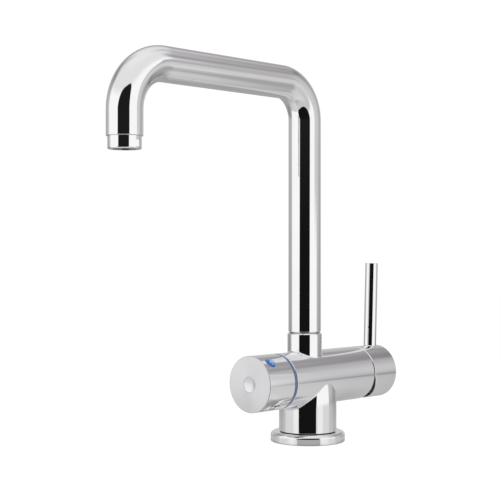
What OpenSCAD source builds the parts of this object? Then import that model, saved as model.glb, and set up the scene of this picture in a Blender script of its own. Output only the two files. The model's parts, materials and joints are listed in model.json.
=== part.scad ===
/* [Base] */
// Outer diameter of the base flange
flange_d = 64; // [60:1:76]
// Height of the flange where the column stands on it
flange_h = 8.5; // [7:0.5:12]
// Radius of the flange's rounded upper edge
flange_round = 2.5; // [1:0.25:3]
// Diameter of the column's foot, which passes through the flange
foot_d = 44; // [43:0.5:46]
// Width of the rubber ring in the flange's underside
deck_seal_w = 4; // [2:0.5:6]
// Thickness of that rubber ring
deck_seal_t = 2.5; // [1.5:0.25:4]

/* [Body] */
// Diameter of the vertical column
column_d = 49.6; // [49:0.2:52]
// Height above the deck where the column starts to draw in towards the barrel
column_shoulder_z = 30; // [24:1:34]
// Diameter of the horizontal barrel, and of the knob and the lever cap at its ends
barrel_d = 47; // [46.5:0.25:50]
// Height of the barrel's axis above the deck
barrel_z = 54; // [52:1:70]
// From the column's axis to the barrel's filter end
filter_end = 39.2; // [38.5:0.1:46]
// From the column's axis to the barrel's mixer end
mixer_end = 64.5; // [62:0.5:72]
// Offset of the riser from the column, towards the filter end
riser_offset = 4; // [3.5:0.25:5]
// Diameter of the collar that holds the spout
collar_d = 29.6; // [29:0.2:32]
// Height of the collar's top above the deck
collar_top = 93.5; // [91:0.5:100]
// Depth of the collar's bore
collar_depth = 21.5; // [20.5:0.5:22.5]
// Diameter of the collar's bore
collar_bore_d = 23.6; // [23.2:0.2:24]
// Depth of the ring-shaped core pocket in the column's foot
core_depth = 24; // [12:1:26]

/* [Waterways] */
// Wall diameter of the hose inlets, the minor diameter of M10 x 1
inlet_d = 9; // [8:0.5:9.5]
// Depth of the thread in each hose inlet
inlet_depth = 10; // [8:1:14]
// Half the distance between the hot and the cold inlet
inlet_y = 8.5; // [7.5:0.25:9]
// Place of the hot and cold inlets along the barrel
inlet_x = 5; // [4.5:0.5:6]
// Place of the filtered water inlet, on the other side of the column's axis
filter_inlet_x = 10; // [9:0.5:10.5]
// Diameter of the hot and cold waterways
waterway_d = 6; // [5:0.5:6]
// Wall diameter of the fixing stud's hole, the minor diameter of M8
stud_d = 6.8; // [6:0.2:7]
// Depth of the fixing stud's hole
stud_depth = 16; // [10:1:18]
// Place of the fixing stud's hole
stud_x = 11; // [10.5:0.25:11.5]

/* [Spout] */
// Outer diameter of the spout tube
tube_d = 28; // [27.5:0.25:29]
// Wall of the spout tube
tube_wall = 1.4; // [1.2:0.1:1.6]
// Height of the arm's centreline above the deck
arm_z = 307; // [280:1:340]
// From the riser's axis to the outlet's axis
reach = 202; // [160:1:215]
// Radius of the bend from riser to arm, at the tube's centreline
bend_r = 31; // [29:1:45]
// Radius of the bend from arm to mouth, at the tube's centreline
turn_r = 38; // [29:1:45]
// Length of the straight tube below the down-turned bend
mouth_len = 20.5; // [14:0.5:40]
// Gap between the collar and the tube, filled by the thrust washer
swivel_gap = 0.6; // [0.4:0.1:1]
// Outer diameter of the inner tube for filtered water
filter_tube_d = 10; // [9.5:0.1:10.4]
// Wall of the inner tube
filter_tube_wall = 1.1; // [0.9:0.1:1.2]

/* [Aerator] */
// Outer diameter of the aerator housing
aerator_d = 25.7; // [25:0.1:26.5]
// Height of the aerator housing that shows below the tube
aerator_h = 9; // [7:0.5:11]
// Wall diameter of the aerator's thread, the minor diameter of M24 x 1
aerator_thread_d = 22.8; // [22.4:0.1:23]
// Length of the aerator's thread
aerator_thread_h = 6; // [5:0.5:7]

/* [Filter knob] */
// Length of the knob
knob_len = 30.5; // [29.5:0.5:36]
// Wall of the knob
knob_wall = 2.7; // [2.2:0.1:3]
// Thickness of the knob's face
knob_face = 3.5; // [3.2:0.1:4.5]
// Width of the blue ring
blue_ring_w = 2.4; // [2:0.1:3]
// Gap between the blue ring and the knob
knob_gap = 0.4; // [0.3:0.1:1]
// Diameter of the blue gem
gem_d = 9.4; // [7:0.2:10]
// Place of the gem's centre, back from the knob's face
gem_back = 10; // [9:0.5:12]
// Turn of the gem from the top towards the front
gem_angle = 38; // [0:1:90]
// Diameter of the dished cap in the knob's face
knob_cap_d = 13.2; // [12:0.2:14]

/* [Lever] */
// Length of the lever cap
cap_len = 30.4; // [29:0.2:36]
// Gap between the barrel and the lever cap
cap_gap = 0.6; // [0.5:0.1:1]
// Wall of the lever cap
cap_wall = 2.7; // [2.2:0.1:2.8]
// Slope of the relief under the lever cap, in degrees
relief_angle = 21.5; // [21:0.5:26]
// Diameter of the lever rod
rod_d = 11.4; // [9:0.1:12]
// Height of the rod's top above the deck
rod_top_z = 152.7; // [130:1:180]
// Lean of the rod away from the barrel, in degrees
rod_lean = 2; // [0:0.5:3]
// Place of the rod, back from the cap's far face
rod_back = 9.8; // [9:0.1:10.4]

/* [Hidden] */
$fn = 96;

// How far a cutting shape runs past the face that it opens
cut = 1;
// Radial clearance of a piece that turns or slides in another
running = 0.06;
// Radial clearance of a piece that is screwed, pressed or laid in another
seated = 0.05;
// Clearance between loosely guided pieces on different bodies
loose = 0.3;
// Chamfer on the visible edges of turned pieces
edge = 0.6;

// Body and collar
column_r = column_d / 2;
barrel_r = barrel_d / 2;
riser_x = -riser_offset;
collar_r = collar_d / 2;
collar_bore_r = collar_bore_d / 2;
collar_floor = collar_top - collar_depth;
collar_chamfer = 1;

// The column's arc brings it just inside the barrel's side at this depth below the axis
column_peak = 3.5;
column_side_r = sqrt(barrel_r * barrel_r - column_peak * column_peak);
column_arc_h = barrel_z - column_peak - column_shoulder_z;
column_arc_drop = column_r - column_side_r;
column_arc_r = (column_arc_h * column_arc_h + column_arc_drop * column_arc_drop) / (2 * column_arc_drop);

// Foot: the core pocket leaves an outer wall and a middle block that holds the inlets
foot_r = foot_d / 2;
foot_wall = 2.5;
foot_block_r = 16;
flange_clear = 0.1;
flange_bore_r = foot_r + flange_clear;
deck_seal_out = 0.5;

// Mixing cartridge, measured along the barrel from the column's axis
cartridge_r = 17.5;
cartridge_play = 0.25;
cartridge_cavity_r = cartridge_r + cartridge_play;
cartridge_len = 21;
nut_h = 8.4;
nut_r = 20.4;
nut_sunk = 0.1;
nut_play = 0.2;
nut_hex_d = 33;
nut_hex_h = 3;
cartridge_top = mixer_end - nut_sunk - nut_h;
cavity_floor = cartridge_top - cartridge_len;
cartridge_base_h = 4.5;
fixed_disc_h = 3.5;
moving_disc_h = 3.5;
moving_disc_r = 12;
mixing_pocket_r = 7.2;
mixing_pocket_h = 2;
housing_wall = 1.3;
housing_roof = 2.4;
housing_neck_r = 14.2;
housing_neck_h = 10;
rotor_r = 12.5;
rotor_flange_r = 15.6;
rotor_gap = 0.4;
rotor_top_gap = 0.1;
rotor_proud = 2;
pivot_sunk = 2.5;
pivot_x = mixer_end - pivot_sunk;
fixed_disc_u = cavity_floor + cartridge_base_h;
moving_disc_u = fixed_disc_u + fixed_disc_h;
carrier_u = moving_disc_u + moving_disc_h;
carrier_h = cartridge_top - housing_roof - carrier_u - rotor_gap;
rotor_end = cartridge_top + housing_neck_h + rotor_proud;

// Ports of the mixing cartridge: hot and cold above the axis, mixed water below it
port_y = 7;
port_up = 3.2;
port_down = 6.1;
port_d = 5.2;
port_pocket_d = 7.6;
port_pocket_h = 2;
mixed_rise_out = 7.4;
mixed_rise_x = riser_x + mixed_rise_out;

// Lever travel: the stem's ball pushes the moving disc across by a straight ratio
flow_angle = 20;
ball_r = 3;
ball_in = 3.8;
ball_end_play = 0.2;
ball_x = carrier_u + ball_in;
stem_arm = pivot_x - ball_x;
disc_travel = stem_arm * flow_angle * PI / 180;
disc_rest_z = -disc_travel / 2;
stem_w = 9;
stem_play = 0.05;
stem_end_play = 0.1;
stem_neck_r = 2.2;
stem_pin_r = 1.5;
stem_pin_sunk = 1.2;
stem_pin_play = 0.02;
carrier_half_w = 8.7;
carrier_play = 0.15;
peg_r = 1.25;
peg_h = 1.5;
peg_play = 0.05;
peg_hole_h = peg_h + 0.2;
peg_y = 5.5;
peg_up = 7.5;

// Dome under the lever cap, round the stem's pivot
dome_r = barrel_r - cap_wall - 2 * loose;
dome_wall = 1.4;
dome_h = 7;
dome_hole_r = 14;

// Lever cap and rod
cap_r = barrel_r;
cap_rim_x = mixer_end + cap_gap;
cap_face_x = cap_rim_x + cap_len;
cap_web = 15.5;
cap_web_x = cap_face_x - cap_web;
cap_hub_r = 9.5;
cap_hub_h = 3;
stem_back = 8;
stem_end = cap_face_x - stem_back;
rod_r = rod_d / 2;
rod_x = cap_face_x - rod_back;
rod_edge = 0.4;
rod_thread_r = 2.95;
rod_thread_h = 11;
lever_screw_in = 4;
lever_screw_x = cap_web_x + lever_screw_in;
lever_screw_r = 2.4;
lever_screw_h = 9;
lever_screw_edge = 0.4;
lever_screw_key = 2.9;
lever_screw_key_h = 2.5;
plug_r = 3;
plug_h = 2;
plug_sunk = 0.3;

// Filter valve, measured along the barrel from the column's axis
seat_depth = 24.2;
seat_u = filter_end - seat_depth;
seat_r = 9;
seat_port_r = 4;
headwork_seal_h = 2;
headwork_seal_bore_r = 5.6;
nose_u = seat_u + headwork_seal_h;
nose_r = 8.6;
nose_play = 0.1;
seat_wall_h = 5;
headwork_thread_h = 10.2;
chamber_u = seat_u + seat_wall_h;
chamber_end_u = filter_end - headwork_thread_h;
chamber_r = 11.5;
headwork_thread_r = 10.45;
headwork_bore_r = 6.6;
headwork_disc_h = 3.3;
headwork_fixed_u = nose_u;
headwork_moving_u = headwork_fixed_u + headwork_disc_h;
headwork_disc_play = 0.1;
window_r = 1.9;
window_out = 3.6;
side_port_w = 5;
side_port_h = 4;
side_port_up = 0.5;
spindle_foot_u = headwork_moving_u + headwork_disc_h;
spindle_foot_h = 7.4;
spindle_fork_w = 6;
spindle_fork_h = 5;
spindle_shaft_u = spindle_foot_u + spindle_foot_h;
spindle_top_gap = 0.2;
spindle_r = 3.95;
spindle_oring_r = 2.9;
spindle_oring_w = 1.4;
spindle_oring_section = 1.05;
spindle_oring_play = 0.02;
spindle_oring_out = 3;
spindle_oring_u = [for (side = [-1, 1]) filter_end + side * spindle_oring_out];
turret_len = 10.8;
turret_end_u = filter_end + turret_len;
turret_r = 8;
turret_edge = 0.5;
hex_flats = 24;
hex_h = 4.3;
clip_r = 5.4;
clip_h = 1;
clip_groove_r = 3.2;
clip_groove_w = 1.1;
clip_groove_up = 0.15;
clip_mouth_w = 4;
spline_up = 2;
spline_u = turret_end_u + spline_up;
spline_r = spindle_r - 0.1;
spline_play = 0.08;
spline_teeth = 20;
spline_depth = 0.45;
spline_len = 12;
spindle_end_u = spline_u + spline_len;

// Knob
knob_r = barrel_r;
knob_u = filter_end + blue_ring_w + knob_gap;
knob_face_u = knob_u + knob_len;
knob_hub_r = 9;
knob_hub_up = 3;
knob_hub_u = turret_end_u + knob_hub_up;
knob_cap_r = knob_cap_d / 2;
knob_cap_h = 2.9;
knob_cap_sunk = 0.3;
screw_r = 1.95;
screw_play = 0.2;
screw_head_r = 3.5;
screw_head_h = 2.4;
screw_head_play = 0.4;
screw_head_edge = 0.4;
screw_cross_l = 4;
screw_cross_w = 1;
screw_cross_h = 1.2;
screw_len = 10;
screw_land = 1.8;
screw_seat_u = spindle_end_u + screw_land;
gem_r = gem_d / 2;
gem_u = knob_face_u - gem_back;
gem_floor = 0.4;
gem_base = knob_r - knob_wall + gem_floor;
gem_girdle = knob_r - 0.6;
gem_crown = 1;
gem_crown_edge = 0.1;
gem_bevel = 1.4;
end_pocket_r_in = 14.5;
end_pocket_r_out = 20;
end_pocket_depth = 14;
blue_ring_in = 0.25;
blue_ring_land = 1;
blue_lip_h = 2;
blue_lip_w = 1.15;

// Spout
tube_r = tube_d / 2;
tube_inner_r = tube_r - tube_wall;
tube_foot_z = collar_top + swivel_gap;
outlet_x = riser_x - reach;
mouth_z = arm_z - turn_r - mouth_len;
tube_foot_edge = 0.8;
tube_mouth_edge = 0.4;
washer_in = 1;
spigot_r = collar_bore_r - running;
spigot_bore_r = 8.2;
spigot_foot_up = 1;
spigot_foot_z = collar_floor + spigot_foot_up;
spigot_step = 0.5;
spigot_len_above = 15;
oring_section = 2;
oring_room = 0.2;
oring_r = collar_bore_r - seated;
oring_up = [6, 11.5];
oring_z = [for (up = oring_up) collar_floor + up];
glide_h = 1.6;
glide_depth = 1.2;
glide_play = 0.02;
glide_up = 2.6;
glide_down = 1.4;
glide_z = [collar_floor + glide_up, collar_top - glide_down];
spout_screw_up = 16.4;
spout_screw_z = collar_floor + spout_screw_up;
spout_screw_r = 1.95;
spout_screw_edge = 0.3;
spout_screw_sunk = 0.4;
spout_screw_key = 2.3;
spout_screw_key_h = 2;
screw_groove_r = 10.2;
screw_groove_h = 4.2;
screw_groove_play = 0.2;

// Filtered water tube on its nipple
filter_tube_r = filter_tube_d / 2;
filter_tube_bore_r = filter_tube_r - filter_tube_wall;
nipple_r = filter_tube_bore_r - running;
nipple_bore_r = 2.2;
nipple_len = 14;
nipple_top = collar_floor + nipple_len;
nipple_groove_up = 9;
nipple_groove_z = collar_floor + nipple_groove_up;
nipple_groove_r = 2.95;
nipple_groove_h = 1.6;
nipple_run_h = 2;
chamber_exit_u = 2;
chamber_exit_in = 0.5;
drilling_r = 1.9;
filter_tube_foot_up = 4;
filter_tube_foot_z = collar_floor + filter_tube_foot_up;

// Aerator
aerator_r = aerator_d / 2;
aerator_thread_r = aerator_thread_d / 2;
outlet_z = mouth_z - aerator_h;
aerator_gap = 0.1;
aerator_shoulder_z = mouth_z - aerator_gap;
aerator_bore_r = 9.9;
aerator_lip_r = 9.2;
aerator_lip_h = 1.2;
aerator_round = [1.1, 0.35];
key_flat_depth = 0.5;
key_flat_up = 1.5;
key_flat_h = 5;
aerator_top_z = aerator_shoulder_z + aerator_thread_h;
aerator_washer_h = 2;
aerator_washer_play = 0.1;
aerator_washer_in = 0.9;
web_z = aerator_top_z + aerator_washer_h;
web_h = 3;
web_window_r = 2.4;
web_window_out = 3.2;
nozzle_len = web_z + web_h - mouth_z;
grid_h = 1.2;
grid_z = outlet_z + aerator_lip_h;
grid_slots = 18;
inner_slot = [1.7, 0.9];
inner_slot_r = 4.6;
outer_slot = [1.9, 1.4];
outer_slot_r = 7;
insert_z = grid_z + grid_h;
insert_spout_r = filter_tube_bore_r - seated;
insert_spout_h = 6;
insert_bore_r = 2.6;
insert_ports = 12;
insert_port_r = 1.3;
insert_port_out = 7;
filter_tube_grip = 0.5;
filter_tube_end_z = web_z + filter_tube_grip;
insert_top_z = filter_tube_end_z + insert_spout_h;

// A ring standing on z0
module ring(r_out, r_in, z0, h) {
    translate([0, 0, z0])
        difference() {
            cylinder(r = r_out, h = h);
            translate([0, 0, -cut]) cylinder(r = r_in, h = h + 2 * cut);
        }
}

// What a turned groove of width w, centred on z, takes from a bar of radius r
module groove(r, r_floor, z, w) {
    ring(r + cut, r_floor, z - w / 2, w);
}

// A solid round stretch from z0
module round_bar(r, z0, h) {
    translate([0, 0, z0]) cylinder(r = r, h = h);
}

// A round bar with both ends chamfered
module edged_bar(r, z0, h, c) {
    translate([0, 0, z0])
        rotate_extrude()
            polygon([[0, 0], [r - c, 0], [r, c], [r, h - c], [r - c, h], [0, h]]);
}

// A rubber ring of round section, centred on z
module o_ring(r_out, section, z) {
    translate([0, 0, z])
        rotate_extrude() translate([r_out - section / 2, 0]) circle(r = section / 2, $fn = 32);
}

// The six-sided key hole in the end of a grub screw
module key_hole(d, end, h) {
    translate([0, 0, end - h]) cylinder(d = d, h = h + cut, $fn = 6);
}

// Puts what is drawn along +Z on the barrel's axis, pointing to the lever
module mixer_side() {
    translate([0, 0, barrel_z]) rotate([0, 90, 0]) children();
}

// Puts what is drawn along +Z on the barrel's axis, pointing to the filter knob
module filter_side() {
    translate([0, 0, barrel_z]) rotate([0, -90, 0]) children();
}

// Puts what is drawn round Z on the riser's axis
module on_riser() {
    translate([riser_x, 0, 0]) children();
}

// Puts what is drawn round Z on the outlet's axis
module on_outlet() {
    translate([outlet_x, 0, 0]) children();
}

// The column: straight above the flange, then drawn in on a long arc so that it merges with the barrel
module column_solid() {
    round_bar(column_r - edge, flange_h, edge + cut);
    translate([0, 0, flange_h]) cylinder(r1 = column_r - edge, r2 = column_r, h = edge);
    round_bar(column_r, flange_h + edge, column_shoulder_z - flange_h - edge);
    translate([0, 0, column_shoulder_z])
        rotate_extrude()
            intersection() {
                square([column_r, barrel_z - column_shoulder_z]);
                translate([column_r - column_arc_r, 0]) circle(r = column_arc_r);
            }
}

// The outlines of column, barrel and collar, before any hole
module body_solid() {
    round_bar(foot_r, 0, flange_h + cut);
    column_solid();
    mixer_side() edged_bar(barrel_r, -filter_end, filter_end + mixer_end, edge);
    on_riser()
        translate([0, 0, barrel_z])
            rotate_extrude()
                polygon([
                    [0, 0],
                    [collar_r, 0],
                    [collar_r, collar_top - barrel_z - collar_chamfer],
                    [collar_r - collar_chamfer, collar_top - barrel_z],
                    [0, collar_top - barrel_z]
                ]);
}

// The holes from below: hoses, stud and the ring-shaped core pocket
module body_underside_cuts() {
    for (side = [-1, 1])
        translate([inlet_x, side * inlet_y, 0]) {
            round_bar(inlet_d / 2, -cut, inlet_depth + cut);
            round_bar(waterway_d / 2, 0, barrel_z + port_up);
        }
    translate([-filter_inlet_x, 0, 0]) {
        round_bar(inlet_d / 2, -cut, inlet_depth + cut);
        round_bar(waterway_d / 2, 0, barrel_z);
    }
    translate([stud_x, 0, 0]) round_bar(stud_d / 2, -cut, stud_depth + cut);
    ring(foot_r - foot_wall, foot_block_r, -cut, core_depth + cut);
}

// The cartridge's cavity and the waterways behind it
module body_mixer_cuts() {
    mixer_side() {
        round_bar(cartridge_cavity_r, cavity_floor, mixer_end - cavity_floor + cut);
        round_bar(nut_r + seated, cartridge_top, mixer_end - cartridge_top + cut);
        for (side = [-1, 1])
            translate([-port_up, side * port_y, inlet_x])
                cylinder(d = port_d, h = cavity_floor - inlet_x + cut);
        translate([port_down, 0, mixed_rise_x - cut])
            cylinder(d = port_d, h = cavity_floor - mixed_rise_x + 2 * cut);
    }
    translate([mixed_rise_x, 0, barrel_z - port_down])
        cylinder(d = port_d, h = collar_floor - barrel_z + port_down + cut);
}

// The filter valve's port, its chamber and the waterway to the nipple
module body_filter_cuts() {
    filter_side() {
        port_u = filter_inlet_x - waterway_d / 2;
        round_bar(seat_port_r, port_u, seat_u - port_u + cut);
        round_bar(seat_r, seat_u, filter_end - seat_u);
        round_bar(chamber_r, chamber_u, chamber_end_u - chamber_u);
        round_bar(headwork_thread_r, chamber_end_u - cut, filter_end - chamber_end_u + 2 * cut);
        ring(end_pocket_r_out, end_pocket_r_in, filter_end - end_pocket_depth, end_pocket_depth + cut);
    }
    outlet_start = [-(chamber_u + chamber_exit_u), barrel_z + chamber_r - drilling_r - chamber_exit_in];
    outlet_stop = [riser_x, collar_floor - nipple_run_h];
    run = outlet_stop - outlet_start;
    translate([outlet_start[0], 0, outlet_start[1]])
        rotate([0, atan2(run[0], run[1]), 0])
            cylinder(r = drilling_r, h = norm(run));
    bore_z = outlet_stop[1] - nipple_bore_r;
    on_riser() round_bar(nipple_bore_r, bore_z, nipple_top - bore_z + cut);
}

// The collar's bore, with the nipple for the filtered water tube left standing in it
module body_collar_cuts() {
    on_riser() {
        ring(collar_bore_r, nipple_r, collar_floor, collar_depth + cut);
        round_bar(nipple_r + cut, nipple_top, collar_top - nipple_top + cut);
        groove(nipple_r, nipple_groove_r, nipple_groove_z, nipple_groove_h);
        translate([0, 0, spout_screw_z])
            rotate([-90, 0, 0]) cylinder(r = spout_screw_r + seated, h = collar_r + cut);
    }
}

module body_casting() {
    color("gainsboro")
        difference() {
            body_solid();
            body_underside_cuts();
            body_mixer_cuts();
            body_filter_cuts();
            body_collar_cuts();
        }
}

module base_flange() {
    r = flange_d / 2;
    color("gainsboro")
        difference() {
            rotate_extrude()
                union() {
                    polygon([
                        [flange_bore_r, 0],
                        [r - edge, 0],
                        [r, edge],
                        [r, flange_h - flange_round],
                        [r - flange_round, flange_h - flange_round],
                        [r - flange_round, flange_h],
                        [flange_bore_r, flange_h]
                    ]);
                    translate([r - flange_round, flange_h - flange_round]) circle(r = flange_round);
                }
            deck_seal_shape(0, cut);
        }
}

// The rubber ring's place, widened and deepened by what its groove needs
module deck_seal_shape(wider, deeper) {
    middle = (foot_r + flange_d / 2) / 2 + deck_seal_out;
    half = deck_seal_w / 2 + wider;
    ring(middle + half, middle - half, -deeper, deck_seal_t + deeper);
}

module deck_seal() {
    color("dimgray") deck_seal_shape(0, 0);
}

// The spout's centreline carries a ring section: straight, bend, straight, bend, straight
module spout_path(r_out, r_in, z_foot, z_end) {
    on_riser() ring(r_out, r_in, z_foot, arm_z - bend_r - z_foot);
    spout_bend(bend_r, r_out, r_in, riser_x - bend_r, 0);
    translate([outlet_x + turn_r, 0, arm_z])
        rotate([0, 90, 0]) ring(r_out, r_in, 0, reach - bend_r - turn_r);
    spout_bend(turn_r, r_out, r_in, outlet_x + turn_r, 90);
    on_outlet() ring(r_out, r_in, z_end, arm_z - turn_r - z_end);
}

// A quarter bend of radius r round the point x, starting at the given turn above +X
module spout_bend(r, r_out, r_in, x, turn) {
    translate([x, 0, arm_z - r])
        rotate([90, -turn, 0])
            rotate_extrude(angle = 90)
                translate([r, 0])
                    difference() {
                        circle(r = r_out);
                        circle(r = r_in);
                    }
}

module spout_tube() {
    color("gainsboro")
        difference() {
            spout_path(tube_r, tube_inner_r, tube_foot_z, mouth_z);
            on_riser() tube_edge_cut(tube_foot_z, tube_foot_edge);
            on_outlet() tube_edge_cut(mouth_z, tube_mouth_edge);
        }
}

// Takes the outer edge off a tube's lower end
module tube_edge_cut(z, c) {
    translate([0, 0, z])
        rotate_extrude()
            polygon([
                [tube_r - c, -cut],
                [tube_r + cut, -cut],
                [tube_r + cut, cut + c],
                [tube_r, c],
                [tube_r - c, 0]
            ]);
}

module thrust_washer() {
    color("dimgray")
        on_riser() ring(tube_r - washer_in, spigot_r + loose, collar_top, swivel_gap);
}

module spout_spigot() {
    top = tube_foot_z + spigot_len_above;
    step_z = tube_foot_z + spigot_step;
    color("goldenrod")
        on_riser()
            difference() {
                union() {
                    round_bar(spigot_r, spigot_foot_z, step_z - spigot_foot_z);
                    round_bar(tube_inner_r - seated, step_z, top - step_z);
                }
                round_bar(spigot_bore_r, spigot_foot_z - cut, top - spigot_foot_z + 2 * cut);
                for (z = oring_z)
                    groove(spigot_r, oring_r - oring_section, z, oring_section + 2 * oring_room);
                for (z = glide_z)
                    groove(spigot_r, spigot_r - glide_depth, z, glide_h);
                groove(spigot_r, screw_groove_r, spout_screw_z, screw_groove_h);
            }
}

module spout_orings() {
    color("dimgray")
        on_riser() for (z = oring_z) o_ring(oring_r, oring_section, z);
}

module glide_rings() {
    color("white")
        on_riser()
            for (z = glide_z)
                groove_ring(z);
}

// A split plastic ring that fills its groove and runs on the collar's bore
module groove_ring(z) {
    h = glide_h - 2 * seated;
    ring(collar_bore_r - glide_play, spigot_r - glide_depth + seated, z - h / 2, h);
}

module spout_grub_screw() {
    tip = screw_groove_r + screw_groove_play;
    length = collar_r - tip - spout_screw_sunk;
    color("silver")
        on_riser()
            translate([0, tip, spout_screw_z])
                rotate([-90, 0, 0])
                    difference() {
                        edged_bar(spout_screw_r, 0, length, spout_screw_edge);
                        key_hole(spout_screw_key, length, spout_screw_key_h);
                    }
}

module filtered_water_tube() {
    color("whitesmoke")
        spout_path(filter_tube_r, filter_tube_bore_r, filter_tube_foot_z, filter_tube_end_z);
}

module filtered_tube_oring() {
    section = nipple_r - nipple_groove_r;
    color("dimgray")
        on_riser() o_ring(nipple_r, section, nipple_groove_z);
}

// The threaded ring in the spout's mouth, with a four-armed web that centres the inner tube
module nozzle_insert() {
    color("goldenrod")
        on_outlet()
            difference() {
                round_bar(tube_inner_r - seated, mouth_z, nozzle_len);
                round_bar(aerator_thread_r, mouth_z - cut, web_z - mouth_z + cut);
                round_bar(filter_tube_r + seated, web_z - cut, web_h + 2 * cut);
                for (turn = [0:90:270])
                    rotate([0, 0, turn + 45])
                        translate([filter_tube_r + web_window_out, 0, web_z - cut])
                            cylinder(r = web_window_r, h = web_h + 2 * cut, $fn = 48);
            }
}

module aerator_housing() {
    color("gainsboro")
        on_outlet()
            difference() {
                union() {
                    translate([0, 0, outlet_z])
                        rotate_extrude()
                            polygon([
                                [0, 0],
                                [aerator_r - aerator_round[0], 0],
                                [aerator_r - aerator_round[1], aerator_round[1]],
                                [aerator_r, aerator_round[0]],
                                [aerator_r, aerator_shoulder_z - outlet_z],
                                [0, aerator_shoulder_z - outlet_z]
                            ]);
                    round_bar(aerator_thread_r - seated, aerator_shoulder_z - cut, aerator_thread_h + cut);
                }
                round_bar(aerator_lip_r, outlet_z - cut, aerator_top_z - outlet_z);
                round_bar(aerator_bore_r, outlet_z + aerator_lip_h, aerator_top_z - outlet_z);
                for (side = [0, 1])
                    rotate([0, 0, side * 180])
                        translate([-aerator_r, aerator_r - key_flat_depth, outlet_z + key_flat_up])
                            cube([aerator_d, key_flat_depth + cut, key_flat_h]);
            }
}

module aerator_washer() {
    color("dimgray")
        on_outlet() ring(
            aerator_thread_r - aerator_washer_play, aerator_bore_r - aerator_washer_in,
            aerator_top_z, aerator_washer_h
        );
}

// Plastic insert: mixed water goes through the outer slots, filtered water through the middle
module flow_insert() {
    color("whitesmoke")
        on_outlet()
            difference() {
                union() {
                    round_bar(aerator_bore_r - seated, insert_z, aerator_top_z - insert_z);
                    round_bar(insert_spout_r, insert_z, insert_top_z - insert_z);
                }
                round_bar(insert_bore_r, insert_z - cut, insert_top_z - insert_z + 2 * cut);
                for (i = [1:insert_ports])
                    rotate([0, 0, i * 360 / insert_ports])
                        translate([insert_port_out, 0, insert_z - cut])
                            cylinder(r = insert_port_r, h = aerator_top_z - insert_z + 2 * cut, $fn = 24);
            }
}

module outlet_grid() {
    color("dimgray")
        on_outlet()
            difference() {
                round_bar(aerator_bore_r - seated, grid_z, grid_h);
                round_bar(insert_bore_r, grid_z - cut, grid_h + 2 * cut);
                for (i = [1:grid_slots])
                    rotate([0, 0, i * 360 / grid_slots]) {
                        grid_slot(inner_slot, inner_slot_r);
                        grid_slot(outer_slot, outer_slot_r);
                    }
            }
}

// One slot of the grid, its length and width given, from the radius r outwards
module grid_slot(size, r) {
    translate([r, -size[1] / 2, grid_z - cut]) cube([size[0], size[1], grid_h + 2 * cut]);
}

// The star section of the spindle's splines, grown by a clearance
module spline_section(grow) {
    r = spline_r + grow;
    step = 360 / spline_teeth;
    polygon([
        for (i = [0:spline_teeth - 1], k = [0:1])
            (r - k * spline_depth) * [cos((i + k / 2) * step), sin((i + k / 2) * step)]
    ]);
}

module filter_knob() {
    color("gainsboro")
        difference() {
            filter_side()
                difference() {
                    union() {
                        difference() {
                            edged_bar(knob_r, knob_u, knob_len, edge);
                            round_bar(knob_r - knob_wall, knob_u - cut, knob_len - knob_face + cut);
                        }
                        round_bar(knob_hub_r, knob_hub_u, knob_face_u - knob_face - knob_hub_u + cut);
                    }
                    translate([0, 0, knob_hub_u - cut])
                        linear_extrude(spindle_end_u - knob_hub_u + cut) spline_section(spline_play);
                    round_bar(screw_r + screw_play, spindle_end_u - cut, screw_land + 2 * cut);
                    round_bar(screw_head_r + screw_head_play, screw_seat_u, knob_face_u - screw_seat_u);
                    round_bar(knob_cap_r + seated, knob_face_u - knob_cap_h, knob_cap_h + cut);
                }
            gem_shape(gem_r + seated, gem_base, knob_r + cut);
        }
}

// A round plug between two radii of the knob, at the gem's place
module gem_shape(r, from, to) {
    translate([-gem_u, 0, barrel_z])
        rotate([gem_angle, 0, 0])
            translate([0, 0, from]) cylinder(r = r, h = to - from);
}

module indicator_gem() {
    color("royalblue") {
        gem_shape(gem_r, gem_base, gem_girdle);
        translate([-gem_u, 0, barrel_z])
            rotate([gem_angle, 0, 0])
                translate([0, 0, gem_girdle])
                    rotate_extrude()
                        polygon([
                            [0, 0],
                            [gem_r, 0],
                            [gem_r - gem_bevel, gem_crown - gem_crown_edge],
                            [0, gem_crown]
                        ]);
    }
}

// A dished cap pressed in the middle of the knob's face
module knob_cap() {
    dish_r = 26;
    dish_depth = 0.8;
    top = knob_face_u - knob_cap_sunk;
    color("gainsboro")
        filter_side()
            difference() {
                round_bar(knob_cap_r, knob_face_u - knob_cap_h, knob_cap_h - knob_cap_sunk);
                translate([0, 0, top - dish_depth + dish_r]) sphere(r = dish_r);
            }
}

module knob_screw() {
    color("silver")
        filter_side()
            difference() {
                union() {
                    round_bar(screw_r, screw_seat_u - screw_len, screw_len + cut);
                    edged_bar(screw_head_r, screw_seat_u, screw_head_h, screw_head_edge);
                }
                for (turn = [0, 90])
                    translate([0, 0, screw_seat_u + screw_head_h - screw_cross_h])
                        rotate([0, 0, turn])
                            translate([-screw_cross_l / 2, -screw_cross_w / 2, 0])
                                cube([screw_cross_l, screw_cross_w, screw_cross_h + cut]);
            }
}

// The blue ring stands on the barrel's end and grips the pocket there with a lip
module blue_ring() {
    color("steelblue")
        filter_side() {
            ring(barrel_r - blue_ring_in, end_pocket_r_in + blue_ring_land, filter_end, blue_ring_w);
            lip_r = end_pocket_r_out - seated;
            ring(lip_r, lip_r - blue_lip_w, filter_end - blue_lip_h, blue_lip_h + cut);
        }
}

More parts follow.
